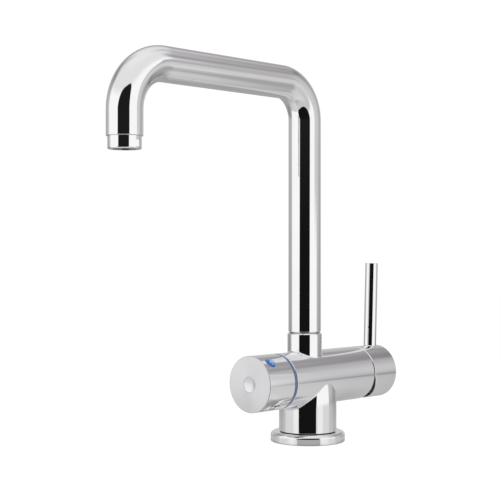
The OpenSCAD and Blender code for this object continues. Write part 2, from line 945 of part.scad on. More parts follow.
module headwork_body() {
    color("goldenrod")
        filter_side()
            difference() {
                union() {
                    round_bar(nose_r, nose_u, chamber_end_u - nose_u + cut);
                    round_bar(headwork_thread_r - seated, chamber_end_u + loose, headwork_thread_h);
                    translate([0, 0, filter_end])
                        cylinder(d = hex_flats / cos(30), h = hex_h, $fn = 6);
                    edged_bar(turret_r, filter_end, turret_end_u - filter_end, turret_edge);
                }
                round_bar(headwork_bore_r, nose_u - cut, spindle_shaft_u + spindle_top_gap - nose_u + cut);
                round_bar(spindle_r + running, nose_u, turret_end_u - nose_u + cut);
                for (turn = [0, 90])
                    rotate([0, 0, turn])
                        translate([-nose_r - cut, -side_port_w / 2, spindle_foot_u + side_port_up])
                            cube([2 * (nose_r + cut), side_port_w, side_port_h]);
            }
}

module headwork_spindle() {
    color("goldenrod")
        filter_side()
            difference() {
                union() {
                    round_bar(headwork_bore_r - headwork_disc_play, spindle_foot_u, spindle_foot_h);
                    round_bar(spindle_r, spindle_shaft_u - cut, spline_u - spindle_shaft_u + cut);
                    translate([0, 0, spline_u - cut])
                        linear_extrude(spline_len + cut) spline_section(0);
                }
                translate([-spindle_fork_w / 2, -headwork_bore_r - cut, spindle_foot_u - cut])
                    cube([spindle_fork_w, 2 * (headwork_bore_r + cut), spindle_fork_h + cut]);
                for (u = spindle_oring_u)
                    groove(spindle_r, spindle_oring_r, u, spindle_oring_w);
                ring(spindle_r + cut, clip_groove_r, turret_end_u + clip_groove_up, clip_groove_w);
                round_bar(screw_r + seated, spindle_end_u - screw_len, screw_len + cut);
            }
}

module headwork_orings() {
    color("dimgray")
        filter_side()
            for (u = spindle_oring_u)
                o_ring(spindle_r + running - spindle_oring_play, spindle_oring_section, u);
}

// A C-shaped clip in the spindle's groove
module headwork_clip() {
    color("silver")
        filter_side()
            difference() {
                ring(clip_r, clip_groove_r + seated, turret_end_u + clip_groove_up + seated, clip_h);
                translate([0, -clip_mouth_w / 2, turret_end_u])
                    cube([clip_r + cut, clip_mouth_w, clip_h + cut]);
            }
}

// A ceramic disc with two round windows across its middle
module window_disc(r, u, h, turn) {
    difference() {
        round_bar(r, u, h);
        for (side = [-1, 1])
            rotate([0, 0, turn])
                translate([side * window_out, 0, u - cut])
                    cylinder(r = window_r, h = h + 2 * cut);
    }
}

module headwork_moving_disc() {
    color("white")
        filter_side()
            window_disc(headwork_bore_r - headwork_disc_play, headwork_moving_u, headwork_disc_h, 90);
}

module headwork_fixed_disc() {
    color("lightgray")
        filter_side()
            window_disc(headwork_bore_r - seated, headwork_fixed_u, headwork_disc_h, 0);
}

module headwork_seal() {
    color("dimgray")
        filter_side() ring(nose_r - nose_play, headwork_seal_bore_r, seat_u, headwork_seal_h);
}

module cartridge_housing() {
    inner_r = cartridge_r - housing_wall;
    roof_u = cartridge_top - housing_roof;
    color("whitesmoke")
        mixer_side()
            difference() {
                union() {
                    round_bar(cartridge_r, fixed_disc_u, cartridge_top - fixed_disc_u);
                    round_bar(housing_neck_r, cartridge_top - cut, housing_neck_h + cut);
                }
                round_bar(inner_r, fixed_disc_u - cut, roof_u - fixed_disc_u + cut);
                round_bar(rotor_r + running, roof_u - cut, housing_roof + housing_neck_h + 2 * cut);
            }
}

// The three ports, drawn along +Z from u
module mixer_ports(d, u, h) {
    for (side = [-1, 1])
        translate([-port_up, side * port_y, u]) cylinder(d = d, h = h);
    translate([port_down, 0, u]) cylinder(d = d, h = h);
}

module cartridge_base() {
    color("dimgray")
        mixer_side()
            difference() {
                round_bar(cartridge_r, cavity_floor, cartridge_base_h);
                mixer_ports(port_d, cavity_floor - cut, cartridge_base_h + 2 * cut);
                mixer_ports(port_pocket_d, cavity_floor - cut, port_pocket_h + cut);
            }
}

module cartridge_seals() {
    color("black")
        mixer_side()
            difference() {
                mixer_ports(port_pocket_d - 2 * seated, cavity_floor, port_pocket_h);
                mixer_ports(port_d, cavity_floor - cut, port_pocket_h + 2 * cut);
            }
}

module mixer_fixed_disc() {
    color("lightgray")
        mixer_side()
            difference() {
                round_bar(cartridge_r - housing_wall - seated, fixed_disc_u, fixed_disc_h);
                mixer_ports(port_d, fixed_disc_u - cut, fixed_disc_h + 2 * cut);
            }
}

// The moving disc's pocket joins the ports as the disc slides up
module mixer_moving_disc() {
    color("white")
        mixer_side()
            difference() {
                translate([-disc_rest_z, 0, 0]) round_bar(moving_disc_r, moving_disc_u, moving_disc_h);
                translate([port_down, 0, 0])
                    round_bar(mixing_pocket_r, moving_disc_u - cut, mixing_pocket_h + cut);
                carrier_pegs(peg_r + peg_play, carrier_u - peg_hole_h, peg_hole_h + cut);
            }
}

// Two pegs that tie the carrier to the moving disc
module carrier_pegs(r, u, h) {
    for (side = [-1, 1])
        translate([-disc_rest_z - peg_up, side * peg_y, u]) cylinder(r = r, h = h);
}

module disc_carrier() {
    color("tomato")
        mixer_side()
            difference() {
                union() {
                    intersection() {
                        translate([-disc_rest_z, 0, 0]) round_bar(moving_disc_r, carrier_u, carrier_h);
                        carrier_way(carrier_half_w, carrier_u, carrier_h);
                    }
                    carrier_pegs(peg_r, carrier_u - peg_h, peg_h + cut);
                }
                round_bar(ball_r + loose, ball_x - ball_r - ball_end_play, carrier_h + ball_r);
            }
}

// The straight way in which the carrier slides up and down in the rotor
module carrier_way(half_w, u, h) {
    translate([-cartridge_r, -half_w, u]) cube([2 * cartridge_r, 2 * half_w, h]);
}

// The rotor turns in the housing, guides the carrier and holds the stem's pin
module cartridge_rotor() {
    flange_u = carrier_u + rotor_gap;
    roof_u = cartridge_top - housing_roof - rotor_top_gap;
    way_end_u = carrier_u + carrier_h + loose;
    slot_z = 8;
    slot_y = stem_w / 2 + 0.2;
    color("slategray")
        mixer_side()
            difference() {
                union() {
                    round_bar(rotor_flange_r, flange_u, roof_u - flange_u);
                    round_bar(rotor_r, roof_u - cut, rotor_end - roof_u + cut);
                }
                carrier_way(carrier_half_w + carrier_play, flange_u - cut, way_end_u - flange_u + cut);
                translate([-slot_z, -slot_y, flange_u])
                    cube([2 * slot_z, 2 * slot_y, rotor_end - flange_u + cut]);
                translate([0, -rotor_r - cut, pivot_x])
                    rotate([-90, 0, 0])
                        cylinder(r = stem_pin_r + stem_pin_play, h = 2 * (rotor_r + cut), $fn = 48);
            }
}

module stem_pin() {
    length = 2 * (rotor_r - stem_pin_sunk);
    color("silver")
        translate([pivot_x, -length / 2, barrel_z])
            rotate([-90, 0, 0]) cylinder(r = stem_pin_r, h = length, $fn = 48);
}

// The stem: a ball in the carrier, an eye on the pin and a square end in the lever cap
module cartridge_stem() {
    color("silver")
        mixer_side()
            difference() {
                union() {
                    translate([0, 0, ball_x]) sphere(r = ball_r, $fn = 48);
                    round_bar(stem_neck_r, ball_x, pivot_x - ball_x);
                    translate([0, 0, pivot_x])
                        rotate([90, 0, 0])
                            cylinder(r = stem_w / 2, h = stem_w, center = true, $fn = 64);
                    translate([-stem_w / 2, -stem_w / 2, pivot_x])
                        cube([stem_w, stem_w, stem_end - pivot_x]);
                }
                translate([0, -stem_w, pivot_x])
                    rotate([-90, 0, 0]) cylinder(r = stem_pin_r + running, h = 2 * stem_w, $fn = 48);
            }
}

module cartridge_nut() {
    bore_h = nut_h + nut_sunk + nut_hex_h + 2 * cut;
    color("goldenrod")
        mixer_side()
            difference() {
                union() {
                    round_bar(nut_r, cartridge_top, nut_h);
                    translate([0, 0, mixer_end - cut])
                        cylinder(d = nut_hex_d, h = cut + nut_hex_h, $fn = 6);
                }
                round_bar(housing_neck_r + nut_play, cartridge_top - cut, bore_h);
            }
}

// A spherical cover over the nut, centred on the stem's pivot
module dome_shroud() {
    start = mixer_end - pivot_x;
    color("silver")
        mixer_side()
            translate([0, 0, pivot_x])
                difference() {
                    intersection() {
                        sphere(r = dome_r, $fn = 128);
                        round_bar(dome_r + cut, start, dome_h);
                    }
                    intersection() {
                        sphere(r = dome_r - dome_wall, $fn = 128);
                        round_bar(dome_r, start - cut, dome_h - dome_wall + cut);
                    }
                    round_bar(dome_hole_r, start, dome_h + cut);
                }
}

module lever_cap() {
    relief_run = 60;
    socket_w = stem_w + 2 * stem_play;
    color("gainsboro")
        difference() {
            mixer_side()
                difference() {
                    edged_bar(cap_r, cap_rim_x, cap_len, edge);
                    difference() {
                        round_bar(cap_r - cap_wall, cap_rim_x - cut, cap_web_x - cap_rim_x + cut);
                        round_bar(cap_hub_r, cap_web_x - cap_hub_h, cap_hub_h + cut);
                    }
                    translate([-socket_w / 2, -socket_w / 2, cap_rim_x])
                        cube([socket_w, socket_w, stem_end + stem_end_play - cap_rim_x]);
                    translate([0, 0, lever_screw_x])
                        rotate([0, 90, 0]) {
                            cylinder(r = lever_screw_r + seated, h = cap_r + cut, $fn = 48);
                            translate([0, 0, cap_r - plug_h - plug_sunk])
                                cylinder(r = plug_r + seated, h = plug_h + plug_sunk + cut, $fn = 48);
                        }
                    translate([0, 0, rod_x])
                        rotate([0, rod_lean - 90, 0]) cylinder(r = rod_thread_r + seated, h = cap_r + cut);
                }
            translate([cap_rim_x, -cap_r - cut, barrel_z])
                rotate([0, -relief_angle, 0])
                    translate([-relief_run, 0, -relief_run])
                        cube([relief_run, 2 * (cap_r + cut), relief_run]);
        }
}

// Puts what is drawn round Z on the leaning rod's axis, from the barrel's axis upwards
module on_rod() {
    translate([rod_x, 0, barrel_z]) rotate([0, rod_lean, 0]) children();
}

// The rod leans away from the barrel and stands in the cap's tapped hole on a screwed end
module lever_rod() {
    length = (rod_top_z - barrel_z) / cos(rod_lean);
    color("gainsboro")
        union() {
            difference() {
                on_rod() edged_bar(rod_r, 0, length, rod_edge);
                mixer_side() cylinder(r = cap_r, h = cap_face_x + cut);
            }
            on_rod() round_bar(rod_thread_r, cap_r - rod_thread_h, rod_thread_h + cut);
        }
}

module lever_grub_screw() {
    color("silver")
        translate([lever_screw_x, 0, barrel_z - stem_w / 2])
            rotate([180, 0, 0])
                difference() {
                    edged_bar(lever_screw_r, 0, lever_screw_h, lever_screw_edge);
                    key_hole(lever_screw_key, lever_screw_h, lever_screw_key_h);
                }
}

module grub_screw_plug() {
    color("silver")
        translate([lever_screw_x, 0, barrel_z - cap_r + plug_h + plug_sunk])
            rotate([180, 0, 0]) cylinder(r = plug_r, h = plug_h, $fn = 48);
}

body_casting();
base_flange();
deck_seal();
spout_tube();
spout_spigot();
thrust_washer();
spout_orings();
glide_rings();
spout_grub_screw();
filtered_water_tube();
filtered_tube_oring();
nozzle_insert();
aerator_housing();
aerator_washer();
flow_insert();
outlet_grid();
filter_knob();
knob_cap();
knob_screw();
indicator_gem();
blue_ring();
headwork_body();
headwork_spindle();
headwork_orings();
headwork_clip();
headwork_moving_disc();
headwork_fixed_disc();
headwork_seal();
cartridge_housing();
cartridge_base();
cartridge_seals();
mixer_fixed_disc();
mixer_moving_disc();
disc_carrier();
cartridge_rotor();
stem_pin();
cartridge_stem();
cartridge_nut();
dome_shroud();
lever_cap();
lever_rod();
lever_grub_screw();
grub_screw_plug();
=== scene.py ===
"""Three-way kitchen tap: chromed column and barrel, swivel spout, filtered-water knob and mixer lever.

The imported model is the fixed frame. Sizes are in millimetres and are turned into metres as each mesh is
made. +X points to the lever end, -Y to the user, +Z up, and the deck is z = 0.
"""

import json
import math

import bmesh
import bpy
import numpy as np
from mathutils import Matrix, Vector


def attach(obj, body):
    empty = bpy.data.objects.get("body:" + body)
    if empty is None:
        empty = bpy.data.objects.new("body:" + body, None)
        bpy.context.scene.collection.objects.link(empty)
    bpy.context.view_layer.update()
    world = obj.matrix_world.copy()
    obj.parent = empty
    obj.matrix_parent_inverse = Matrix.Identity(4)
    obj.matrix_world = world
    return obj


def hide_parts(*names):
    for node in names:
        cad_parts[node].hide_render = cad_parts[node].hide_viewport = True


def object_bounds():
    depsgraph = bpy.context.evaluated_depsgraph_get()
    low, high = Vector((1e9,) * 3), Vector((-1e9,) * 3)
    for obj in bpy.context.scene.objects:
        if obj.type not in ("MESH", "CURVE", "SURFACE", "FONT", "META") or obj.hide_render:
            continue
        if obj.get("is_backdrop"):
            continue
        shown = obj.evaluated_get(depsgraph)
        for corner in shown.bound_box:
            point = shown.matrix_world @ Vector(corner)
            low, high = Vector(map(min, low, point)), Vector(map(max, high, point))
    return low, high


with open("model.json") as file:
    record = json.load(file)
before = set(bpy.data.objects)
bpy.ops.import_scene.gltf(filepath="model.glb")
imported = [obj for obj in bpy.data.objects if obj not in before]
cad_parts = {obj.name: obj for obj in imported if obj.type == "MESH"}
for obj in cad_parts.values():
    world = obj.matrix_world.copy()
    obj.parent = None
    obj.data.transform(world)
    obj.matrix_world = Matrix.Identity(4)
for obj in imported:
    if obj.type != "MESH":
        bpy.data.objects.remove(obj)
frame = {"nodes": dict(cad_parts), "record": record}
cad_low, cad_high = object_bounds()
nodes = frame["nodes"]

# Camera: a long lens a little above half the tap's height, level, looking at the barrel at about 45 degrees.
camera_data = bpy.data.cameras.new("camera")
camera_data.lens = 85.93
camera_data.sensor_width = 36
camera_data.clip_end = 20
camera = bpy.data.objects.new("camera", camera_data)
camera.location = (-0.778676, -0.681385, 0.164762)
camera.rotation_euler = (math.radians(90), 0, math.radians(-46.045))
bpy.context.scene.collection.objects.link(camera)
bpy.context.scene.camera = camera
bpy.context.scene.view_settings.view_transform = "Standard"


# Studio: a white room as polished chrome shows it. Its front half has bright walls, a duller ceiling and a pale
# table, a dark card stands behind the camera, and the far half is grey. Directions are in degrees, and the
# azimuth is counted from the direction towards the camera. Other surfaces get plain even light instead.
towards_camera = math.radians(223.955)
front_table, front_wall, front_ceiling = 0.60, 1.0, 0.80
table_edge_left, table_edge_right, table_turn, table_soft = -11, -34, (-8, 8), (-4, 6)
far_table, far_wall, far_band, far_ceiling = 0.40, 0.60, 0.45, 0.80
room_top, room_bottom = 0.86, 0.49
ceiling_line, wall_line, band_line, far_ceiling_line = (20, 36), (-12, 8), (12, 34), (38, 55)
top_line, bottom_line = (55, 80), (-75, -50)
left_side, right_side = (-98, -86.5), (94, 112)
joint_height, joint_half, joint_shade = -7, 4.0, 0.13
rail_height, rail_half, rail_shade = 34.5, 5.0, 0.11
corner_at, corner_half, corner_shade = 130, 24, 0.30
card_middle, card_half, card_level, card_rise = (2.3, -3.5), (36.5, 37.5), 0.007, 0.005
card_lean, card_softness, card_corners, card_line = 0.3, 0.1, 3.0, (0, 6)
plain_level, backdrop_level = 0.75, 1.02
far_tints = (
    (-14, (1.0, 0.965, 0.96)), (-2, (1.0, 0.985, 1.0)), (10, (0.99, 0.985, 1.0)), (30, (1.0, 0.95, 0.98)),
    (50, (1.0, 0.97, 1.0))
)

world = bpy.data.worlds.new("studio")
bpy.context.scene.world = world
world.use_nodes = True
sky = world.node_tree
sky.nodes.clear()


def calc(tree, kind, first, second=0.0, clamp=False):
    """One math node of a tree; each term is a number or another node's output."""
    node = tree.nodes.new("ShaderNodeMath")
    node.operation = kind
    node.use_clamp = clamp
    for place, term in enumerate((first, second)):
        if isinstance(term, (int, float)):
            node.inputs[place].default_value = term
        else:
            tree.links.new(term, node.inputs[place])
    return node.outputs[0]


def step(tree, value, start, end, low=0.0, high=1.0):
    """A smooth step: low where value is before start, high after end; low and high may be outputs."""
    node = tree.nodes.new("ShaderNodeMapRange")
    node.interpolation_type = "SMOOTHSTEP"
    node.inputs["From Min"].default_value = start
    node.inputs["From Max"].default_value = end
    tree.links.new(value, node.inputs["Value"])
    for name, term in (("To Min", low), ("To Max", high)):
        if isinstance(term, (int, float)):
            node.inputs[name].default_value = term
        else:
            tree.links.new(term, node.inputs[name])
    return node.outputs["Result"]


def ridge(tree, value, middle, half, low, high):
    """A soft ridge: high at the middle, low from half a width away."""
    away = calc(tree, "ABSOLUTE", calc(tree, "SUBTRACT", value, middle))
    return step(tree, away, 0, half, high, low)


def blended(tree, share, first, second):
    """A mix of two shaders: all first where share is 0, all second where it is 1."""
    node = tree.nodes.new("ShaderNodeMixShader")
    for place, term in enumerate((share, first, second)):
        tree.links.new(term, node.inputs[place])
    return node.outputs[0]


looked = sky.nodes.new("ShaderNodeTexCoord")
split = sky.nodes.new("ShaderNodeSeparateXYZ")
sky.links.new(looked.outputs["Generated"], split.inputs[0])
turned = calc(sky, "SUBTRACT", towards_camera, calc(sky, "ARCTAN2", split.outputs["Y"], split.outputs["X"]))
turned = calc(sky, "ARCTAN2", calc(sky, "SINE", turned), calc(sky, "COSINE", turned))
azimuth = calc(sky, "MULTIPLY", turned, 180 / math.pi)
height = calc(sky, "MULTIPLY", calc(sky, "ARCSINE", split.outputs["Z"]), 180 / math.pi)
aside = calc(sky, "ABSOLUTE", azimuth)

table_edge = step(sky, azimuth, *table_turn, table_edge_left, table_edge_right)
front = step(sky, calc(sky, "SUBTRACT", height, table_edge), *table_soft, front_table, front_wall)
front = step(sky, height, *ceiling_line, front, front_ceiling)
far = step(sky, height, *wall_line, far_table, far_wall)
far = step(sky, height, *band_line, far, far_band)
far = step(sky, height, *far_ceiling_line, far, far_ceiling)
far = calc(sky, "SUBTRACT", far, ridge(sky, height, joint_height, joint_half, 0.0, joint_shade))
far = calc(sky, "SUBTRACT", far, ridge(sky, height, rail_height, rail_half, 0.0, rail_shade))
far = calc(sky, "MULTIPLY", far, ridge(sky, aside, corner_at, corner_half, 1.0, 1.0 - corner_shade))
beside = calc(sky, "MAXIMUM", step(sky, azimuth, *left_side, 1, 0), step(sky, azimuth, *right_side))
studio = step(sky, beside, 0, 1, front, far)
studio = step(sky, height, *top_line, studio, room_top)
studio = step(sky, height, *bottom_line, room_bottom, studio)
upright = calc(sky, "ADD", azimuth, calc(sky, "MULTIPLY", height, card_lean))
across = []
for way, middle, half in zip((upright, height), card_middle, card_half):
    away = calc(sky, "ABSOLUTE", calc(sky, "SUBTRACT", way, middle))
    across.append(calc(sky, "POWER", calc(sky, "DIVIDE", away, half), card_corners))
card = step(sky, height, *card_line, card_level, card_level + card_rise)
studio = step(sky, calc(sky, "ADD", *across), 1 - card_softness, 1 + card_softness, card, studio)

rays = sky.nodes.new("ShaderNodeLightPath")
plain_light = sky.nodes.new("ShaderNodeBackground")
plain_light.inputs["Strength"].default_value = plain_level
tints = sky.nodes.new("ShaderNodeValToRGB")
while len(tints.color_ramp.elements) < len(far_tints):
    tints.color_ramp.elements.new(0.5)
for stop, (level, tint) in zip(tints.color_ramp.elements, far_tints):
    stop.position, stop.color = (level + 90) / 180, (*tint, 1)
sky.links.new(calc(sky, "DIVIDE", calc(sky, "ADD", height, 90.0), 180.0), tints.inputs["Fac"])
tinted = sky.nodes.new("ShaderNodeMix")
tinted.data_type = "RGBA"
tinted.inputs["A"].default_value = (1, 1, 1, 1)
sky.links.new(beside, tinted.inputs["Factor"])
sky.links.new(tints.outputs["Color"], tinted.inputs["B"])
coloured = sky.nodes.new("ShaderNodeVectorMath")
coloured.operation = "SCALE"
sky.links.new(tinted.outputs["Result"], coloured.inputs[0])
sky.links.new(studio, coloured.inputs["Scale"])
room = sky.nodes.new("ShaderNodeBackground")
sky.links.new(coloured.outputs[0], room.inputs["Color"])
backdrop = sky.nodes.new("ShaderNodeBackground")
backdrop.inputs["Color"].default_value = (1, 1, 1, 1)
backdrop.inputs["Strength"].default_value = backdrop_level
by_metal = blended(sky, rays.outputs["Is Glossy Ray"], plain_light.outputs[0], room.outputs[0])
seen = calc(sky, "ADD", rays.outputs["Is Camera Ray"], rays.outputs["Is Transmission Ray"], True)
world_out = sky.nodes.new("ShaderNodeOutputWorld")
sky.links.new(blended(sky, seen, by_metal, backdrop.outputs[0]), world_out.inputs["Surface"])


# Floor: a pale sheet at the deck's height. It keeps the tap's soft shadow and runs out into the white. Chrome
# shows only its glossy near part, on which the dark card's foot lies in front; past that it shows the room.
floor_half, floor_drop = 3.0, 0.0002
floor_pale, floor_own, own_share = 0.8, 1.1, 0.84
near_radius, near_soft = 0.42, 0.16
strip_start, strip_soft, strip_apex, strip_slope, strip_turn = 0.073, 0.004, 0.0131, 0.75, 0.06
# Painted light in the near part's glow: a brighter band, and painted shade in front of, behind and round the foot of
# the tap.
lit_apex, lit_slope, lit_soft, lit_gain = 0.016, 1.85, 0.015, 1.0
front_reach, front_shade = (0.04, 0.16), 0.24
behind_start, behind_reach, behind_shade = (-0.06, 0), (0.05, 0.13), 0.3
foot_reach, foot_shade = (0.033, 0.046), 0.45
glow_start, glow_behind, glow_ahead = (-0.25, 0.06), 0.38, 0.67
glaze_roughness, glaze_ior = 0.04, 1.6


def studio_sheet(name, corners):
    """A flat sheet between four corners, with an empty material. Returns the sheet and the material's tree."""
    mesh = bpy.data.meshes.new(name)
    mesh.from_pydata([tuple(corner) for corner in corners], [], [(0, 1, 2, 3)])
    sheet = bpy.data.objects.new(name, mesh)
    bpy.context.scene.collection.objects.link(sheet)
    material = bpy.data.materials.new(name + "_paint")
    material.use_nodes = True
    material.node_tree.nodes.clear()
    mesh.materials.append(material)
    return sheet, material.node_tree


floor_corners = np.array([(-1, -1, 0), (1, -1, 0), (1, 1, 0), (-1, 1, 0)]) * floor_half - (0, 0, floor_drop)
floor, paint = studio_sheet("floor", floor_corners)
floor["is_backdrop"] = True
rays = paint.nodes.new("ShaderNodeLightPath")
matt = paint.nodes.new("ShaderNodeBsdfDiffuse")
matt.inputs["Color"].default_value = (floor_pale, floor_pale, floor_pale, 1)
own = paint.nodes.new("ShaderNodeEmission")
own.inputs["Strength"].default_value = floor_own
seen = calc(paint, "ADD", rays.outputs["Is Camera Ray"], rays.outputs["Is Transmission Ray"], True)
mixed = blended(paint, calc(paint, "MULTIPLY", seen, own_share), matt.outputs[0], own.outputs[0])
placed = paint.nodes.new("ShaderNodeTexCoord")
facing = np.array((math.cos(towards_camera), math.sin(towards_camera), 0))
measured = []
for direction in (facing, np.array((-facing[1], facing[0], 0))):
    way = paint.nodes.new("ShaderNodeVectorMath")
    way.operation = "DOT_PRODUCT"
    way.inputs[1].default_value = direction
    paint.links.new(placed.outputs["Object"], way.inputs[0])
    measured.append(way.outputs["Value"])
ahead, across = measured
length = paint.nodes.new("ShaderNodeVectorMath")
length.operation = "LENGTH"
paint.links.new(placed.outputs["Object"], length.inputs[0])
around = length.outputs["Value"]
aside = calc(paint, "ABSOLUTE", calc(paint, "ADD", across, calc(paint, "MULTIPLY", ahead, strip_turn)))
inside_sides, inside_lit = (
    calc(paint, "SUBTRACT", calc(paint, "MULTIPLY", calc(paint, "SUBTRACT", ahead, apex), slope), aside)
    for apex, slope in ((strip_apex, strip_slope), (lit_apex, lit_slope))
)
between_sides = step(paint, inside_sides, -strip_soft, strip_soft)
strip = step(paint, ahead, strip_start - strip_soft, strip_start + strip_soft)
strip = calc(paint, "MULTIPLY", strip, between_sides)
near = step(paint, around, near_radius - near_soft, near_radius + near_soft, 1, 0)
near = calc(paint, "MULTIPLY", near, calc(paint, "SUBTRACT", 1.0, strip))
# Painted shade in the glow that the chrome sees: in front of the tap, behind it, and a painted contact shadow round
# its foot. The glow is also dimmer behind the tap than ahead of it.
in_front = calc(paint, "MULTIPLY", step(paint, around, *front_reach, front_shade, 0), between_sides)
behind = step(paint, ahead, *behind_start, behind_shade, 0)
behind = calc(paint, "MULTIPLY", behind, step(paint, around, *behind_reach, 1, 0))
at_foot = step(paint, around, *foot_reach, foot_shade, 0)
glow = step(paint, ahead, *glow_start, glow_behind, glow_ahead)
for shade in (in_front, behind, at_foot):
    glow = calc(paint, "MULTIPLY", glow, calc(paint, "SUBTRACT", 1.0, shade))
grazing = paint.nodes.new("ShaderNodeFresnel")
grazing.inputs["IOR"].default_value = glaze_ior
# A painted brighter band in that glow, stronger at grazing angles.
lit = calc(paint, "MULTIPLY", step(paint, inside_lit, -lit_soft, lit_soft, 0, lit_gain), grazing.outputs[0])
glowing = paint.nodes.new("ShaderNodeEmission")
paint.links.new(calc(paint, "MULTIPLY", glow, calc(paint, "ADD", 1.0, lit)), glowing.inputs["Strength"])
glaze = paint.nodes.new("ShaderNodeBsdfGlossy")
glaze.inputs["Roughness"].default_value = glaze_roughness
open_air = paint.nodes.new("ShaderNodeBsdfTransparent")
mirrored = blended(paint, grazing.outputs[0], glowing.outputs[0], glaze.outputs[0])
mirrored = blended(paint, near, open_air.outputs[0], mirrored)
floor_out = paint.nodes.new("ShaderNodeOutputMaterial")
paint.links.new(blended(paint, rays.outputs["Is Glossy Ray"], mixed, mirrored), floor_out.inputs["Surface"])


# Grey flag: a card that stands upright at the right of the arm, out of the picture. It keeps the bright front
# wall off the arm's middle, so only the chrome sees it. It darkens towards its top and clears towards its foot.
flag_away, flag_near, flag_far, flag_low, flag_high = 0.55, -0.19, 0.04, 0.14, 0.56
flag_light, flag_dark, fade_start, fade_end, clear_end = 0.64, 0.47, 0.34, 0.45, 0.27
flag_place = np.array((-facing[1], facing[0], 0)) * flag_away
flag_sides = ((flag_near, flag_low), (flag_far, flag_low), (flag_far, flag_high), (flag_near, flag_high))
flag, paint = studio_sheet("flag", [flag_place - facing * side + (0, 0, level) for side, level in flag_sides])
flag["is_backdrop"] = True
flag.visible_camera = flag.visible_diffuse = flag.visible_transmission = flag.visible_shadow = False
placed = paint.nodes.new("ShaderNodeTexCoord")
split = paint.nodes.new("ShaderNodeSeparateXYZ")
paint.links.new(placed.outputs["Object"], split.inputs[0])
grey = paint.nodes.new("ShaderNodeEmission")
paint.links.new(step(paint, split.outputs["Z"], fade_start, fade_end, flag_light, flag_dark), grey.inputs["Strength"])
open_air = paint.nodes.new("ShaderNodeBsdfTransparent")
cleared = blended(paint, step(paint, split.outputs["Z"], flag_low, clear_end), open_air.outputs[0], grey.outputs[0])
flag_out = paint.nodes.new("ShaderNodeOutputMaterial")
paint.links.new(cleared, flag_out.inputs["Surface"])


# Lamps: three soft panels, above and at both sides, aimed at the barrel. They light what isn't polished and
# throw the floor's shadow; the chrome doesn't show them.
aimed_at = (0, 0, 0.1)
for name, place, size, watts in (
    ("lamp_above", (-0.2, -0.3, 1.3), 1.4, 5.0),
    ("lamp_left", (-1.2, 0.5, 0.7), 1.0, 3.0),
    ("lamp_right", (0.5, -1.3, 0.6), 1.0, 3.0),
):
    lamp_data = bpy.data.lights.new(name, "AREA")
    lamp_data.size = size
    lamp_data.energy = watts
    lamp = bpy.data.objects.new(name, lamp_data)
    lamp.location = place
    aim = np.array(place) - aimed_at
    lean = math.atan2(math.hypot(aim[0], aim[1]), aim[2])
    lamp.rotation_euler = (lean, 0, math.atan2(aim[1], aim[0]) + math.pi / 2)
    lamp.visible_glossy = False
    bpy.context.scene.collection.objects.link(lamp)


# Casting: column, barrel and spout collar, cast in one piece of brass, turned, polished and chromed.
# The column is drawn in to meet the barrel, and both joins are blended by hand-polished fillets. Three hose
# inlets and the fixing stud's hole (x, y, radius, depth) are tapped in the block inside its foot.
X, Y, Z = np.eye(3)
barrel_z, barrel_r = 54, 23.5
filter_end, mixer_end = -39.2, 63.8
end_edge = 0.6
window_x = 30
column_r, shoulder_z, column_arc_r = 24.8, 30, 135.33
column_fillet, column_foot = 3.0, 9.6
groove_r, groove_top = 23.8, 9.0
collar_x, collar_r, collar_top = -4, 14.8, 93.5
collar_fillet = 1.3
screw_z, screw_hole_r = 88.4, 2.0
screw_low, screw_high, screw_side = 84.5, 92.0, math.radians(24)
block_r, inlets = 16, ((5, 8.5, 4.5, 10), (5, -8.5, 4.5, 10), (-10, 0, 4.5, 10), (11, 0, 3.4, 16))


def profile(*corners):
    """A turned outline: (place along the axis, radius, rounding) corners, traced with the open side on the left.

    Each corner's rounding is an arc tangent to both neighbours. Returns rows of place, radius and normal, one
    array per straight or arc, so that each keeps its own normals.
    """
    corners = [corner if len(corner) == 3 else (*corner, 0) for corner in corners]
    places = np.array(corners, float)[:, :2]
    steps = np.diff(places, axis=0)
    steps /= np.linalg.norm(steps, axis=1)[:, None]
    outs = np.column_stack([-steps[:, 1], steps[:, 0]])
    rows, last = [], places[0]
    for i, (corner, out) in enumerate(zip(places[1:], outs)):
        if i + 1 == len(outs) or corners[i + 1][2] == 0:
            rows.append(np.column_stack([[last, corner], [out, out]]))
            last = corner
            continue
        turn = math.atan2(np.cross(steps[i], steps[i + 1]), steps[i] @ steps[i + 1])
        rounding = corners[i + 1][2]
        reach = rounding * math.tan(abs(turn) / 2)
        start, side = corner - reach * steps[i], math.copysign(1, turn)
        rows.append(np.column_stack([[last, start], [out, out]]))
        angles = turn * np.linspace(0, 1, 7)[:, None]
        normals = np.cos(angles) * out + np.sin(angles) * np.array([-out[1], out[0]])
        rows.append(np.column_stack([start + side * rounding * (out - normals), normals]))
        last = corner + reach * steps[i + 1]
    return rows


def spun(rows, origin, axis, start, angles):
    """Turns an outline about an axis: point = origin + place along it + radius * (cos start + sin side)."""
    side = np.cross(axis, start)
    ring = np.cos(angles)[:, None] * start + np.sin(angles)[:, None] * side
    sheets = []
    for row in rows:
        points = origin + row[:, None, 0:1] * axis + row[:, None, 1:2] * ring
        sheets.append((points, row[:, None, 2:3] * axis + row[:, None, 3:4] * ring))
    return sheets


def on_cylinder(along, angle, origin, axis, start, radius):
    """Lays a sheet of (place along the axis, angle) round a cylinder, with its true normals."""
    side = np.cross(axis, start)
    normals = np.cos(angle)[..., None] * start + np.sin(angle)[..., None] * side
    return origin + along[..., None] * axis + radius * normals, normals


def around_gap(places, turns, gap, origin, axis, start, radius):
    """A band round a cylinder but for a gap: up to the gap's first turn, and on from its last one."""
    return [
        on_cylinder(places[:, None] + 0 * part, part + 0 * places[:, None], origin, axis, start, radius)
        for part in (turns[:gap[0] + 1], turns[gap[-1]:])
    ]


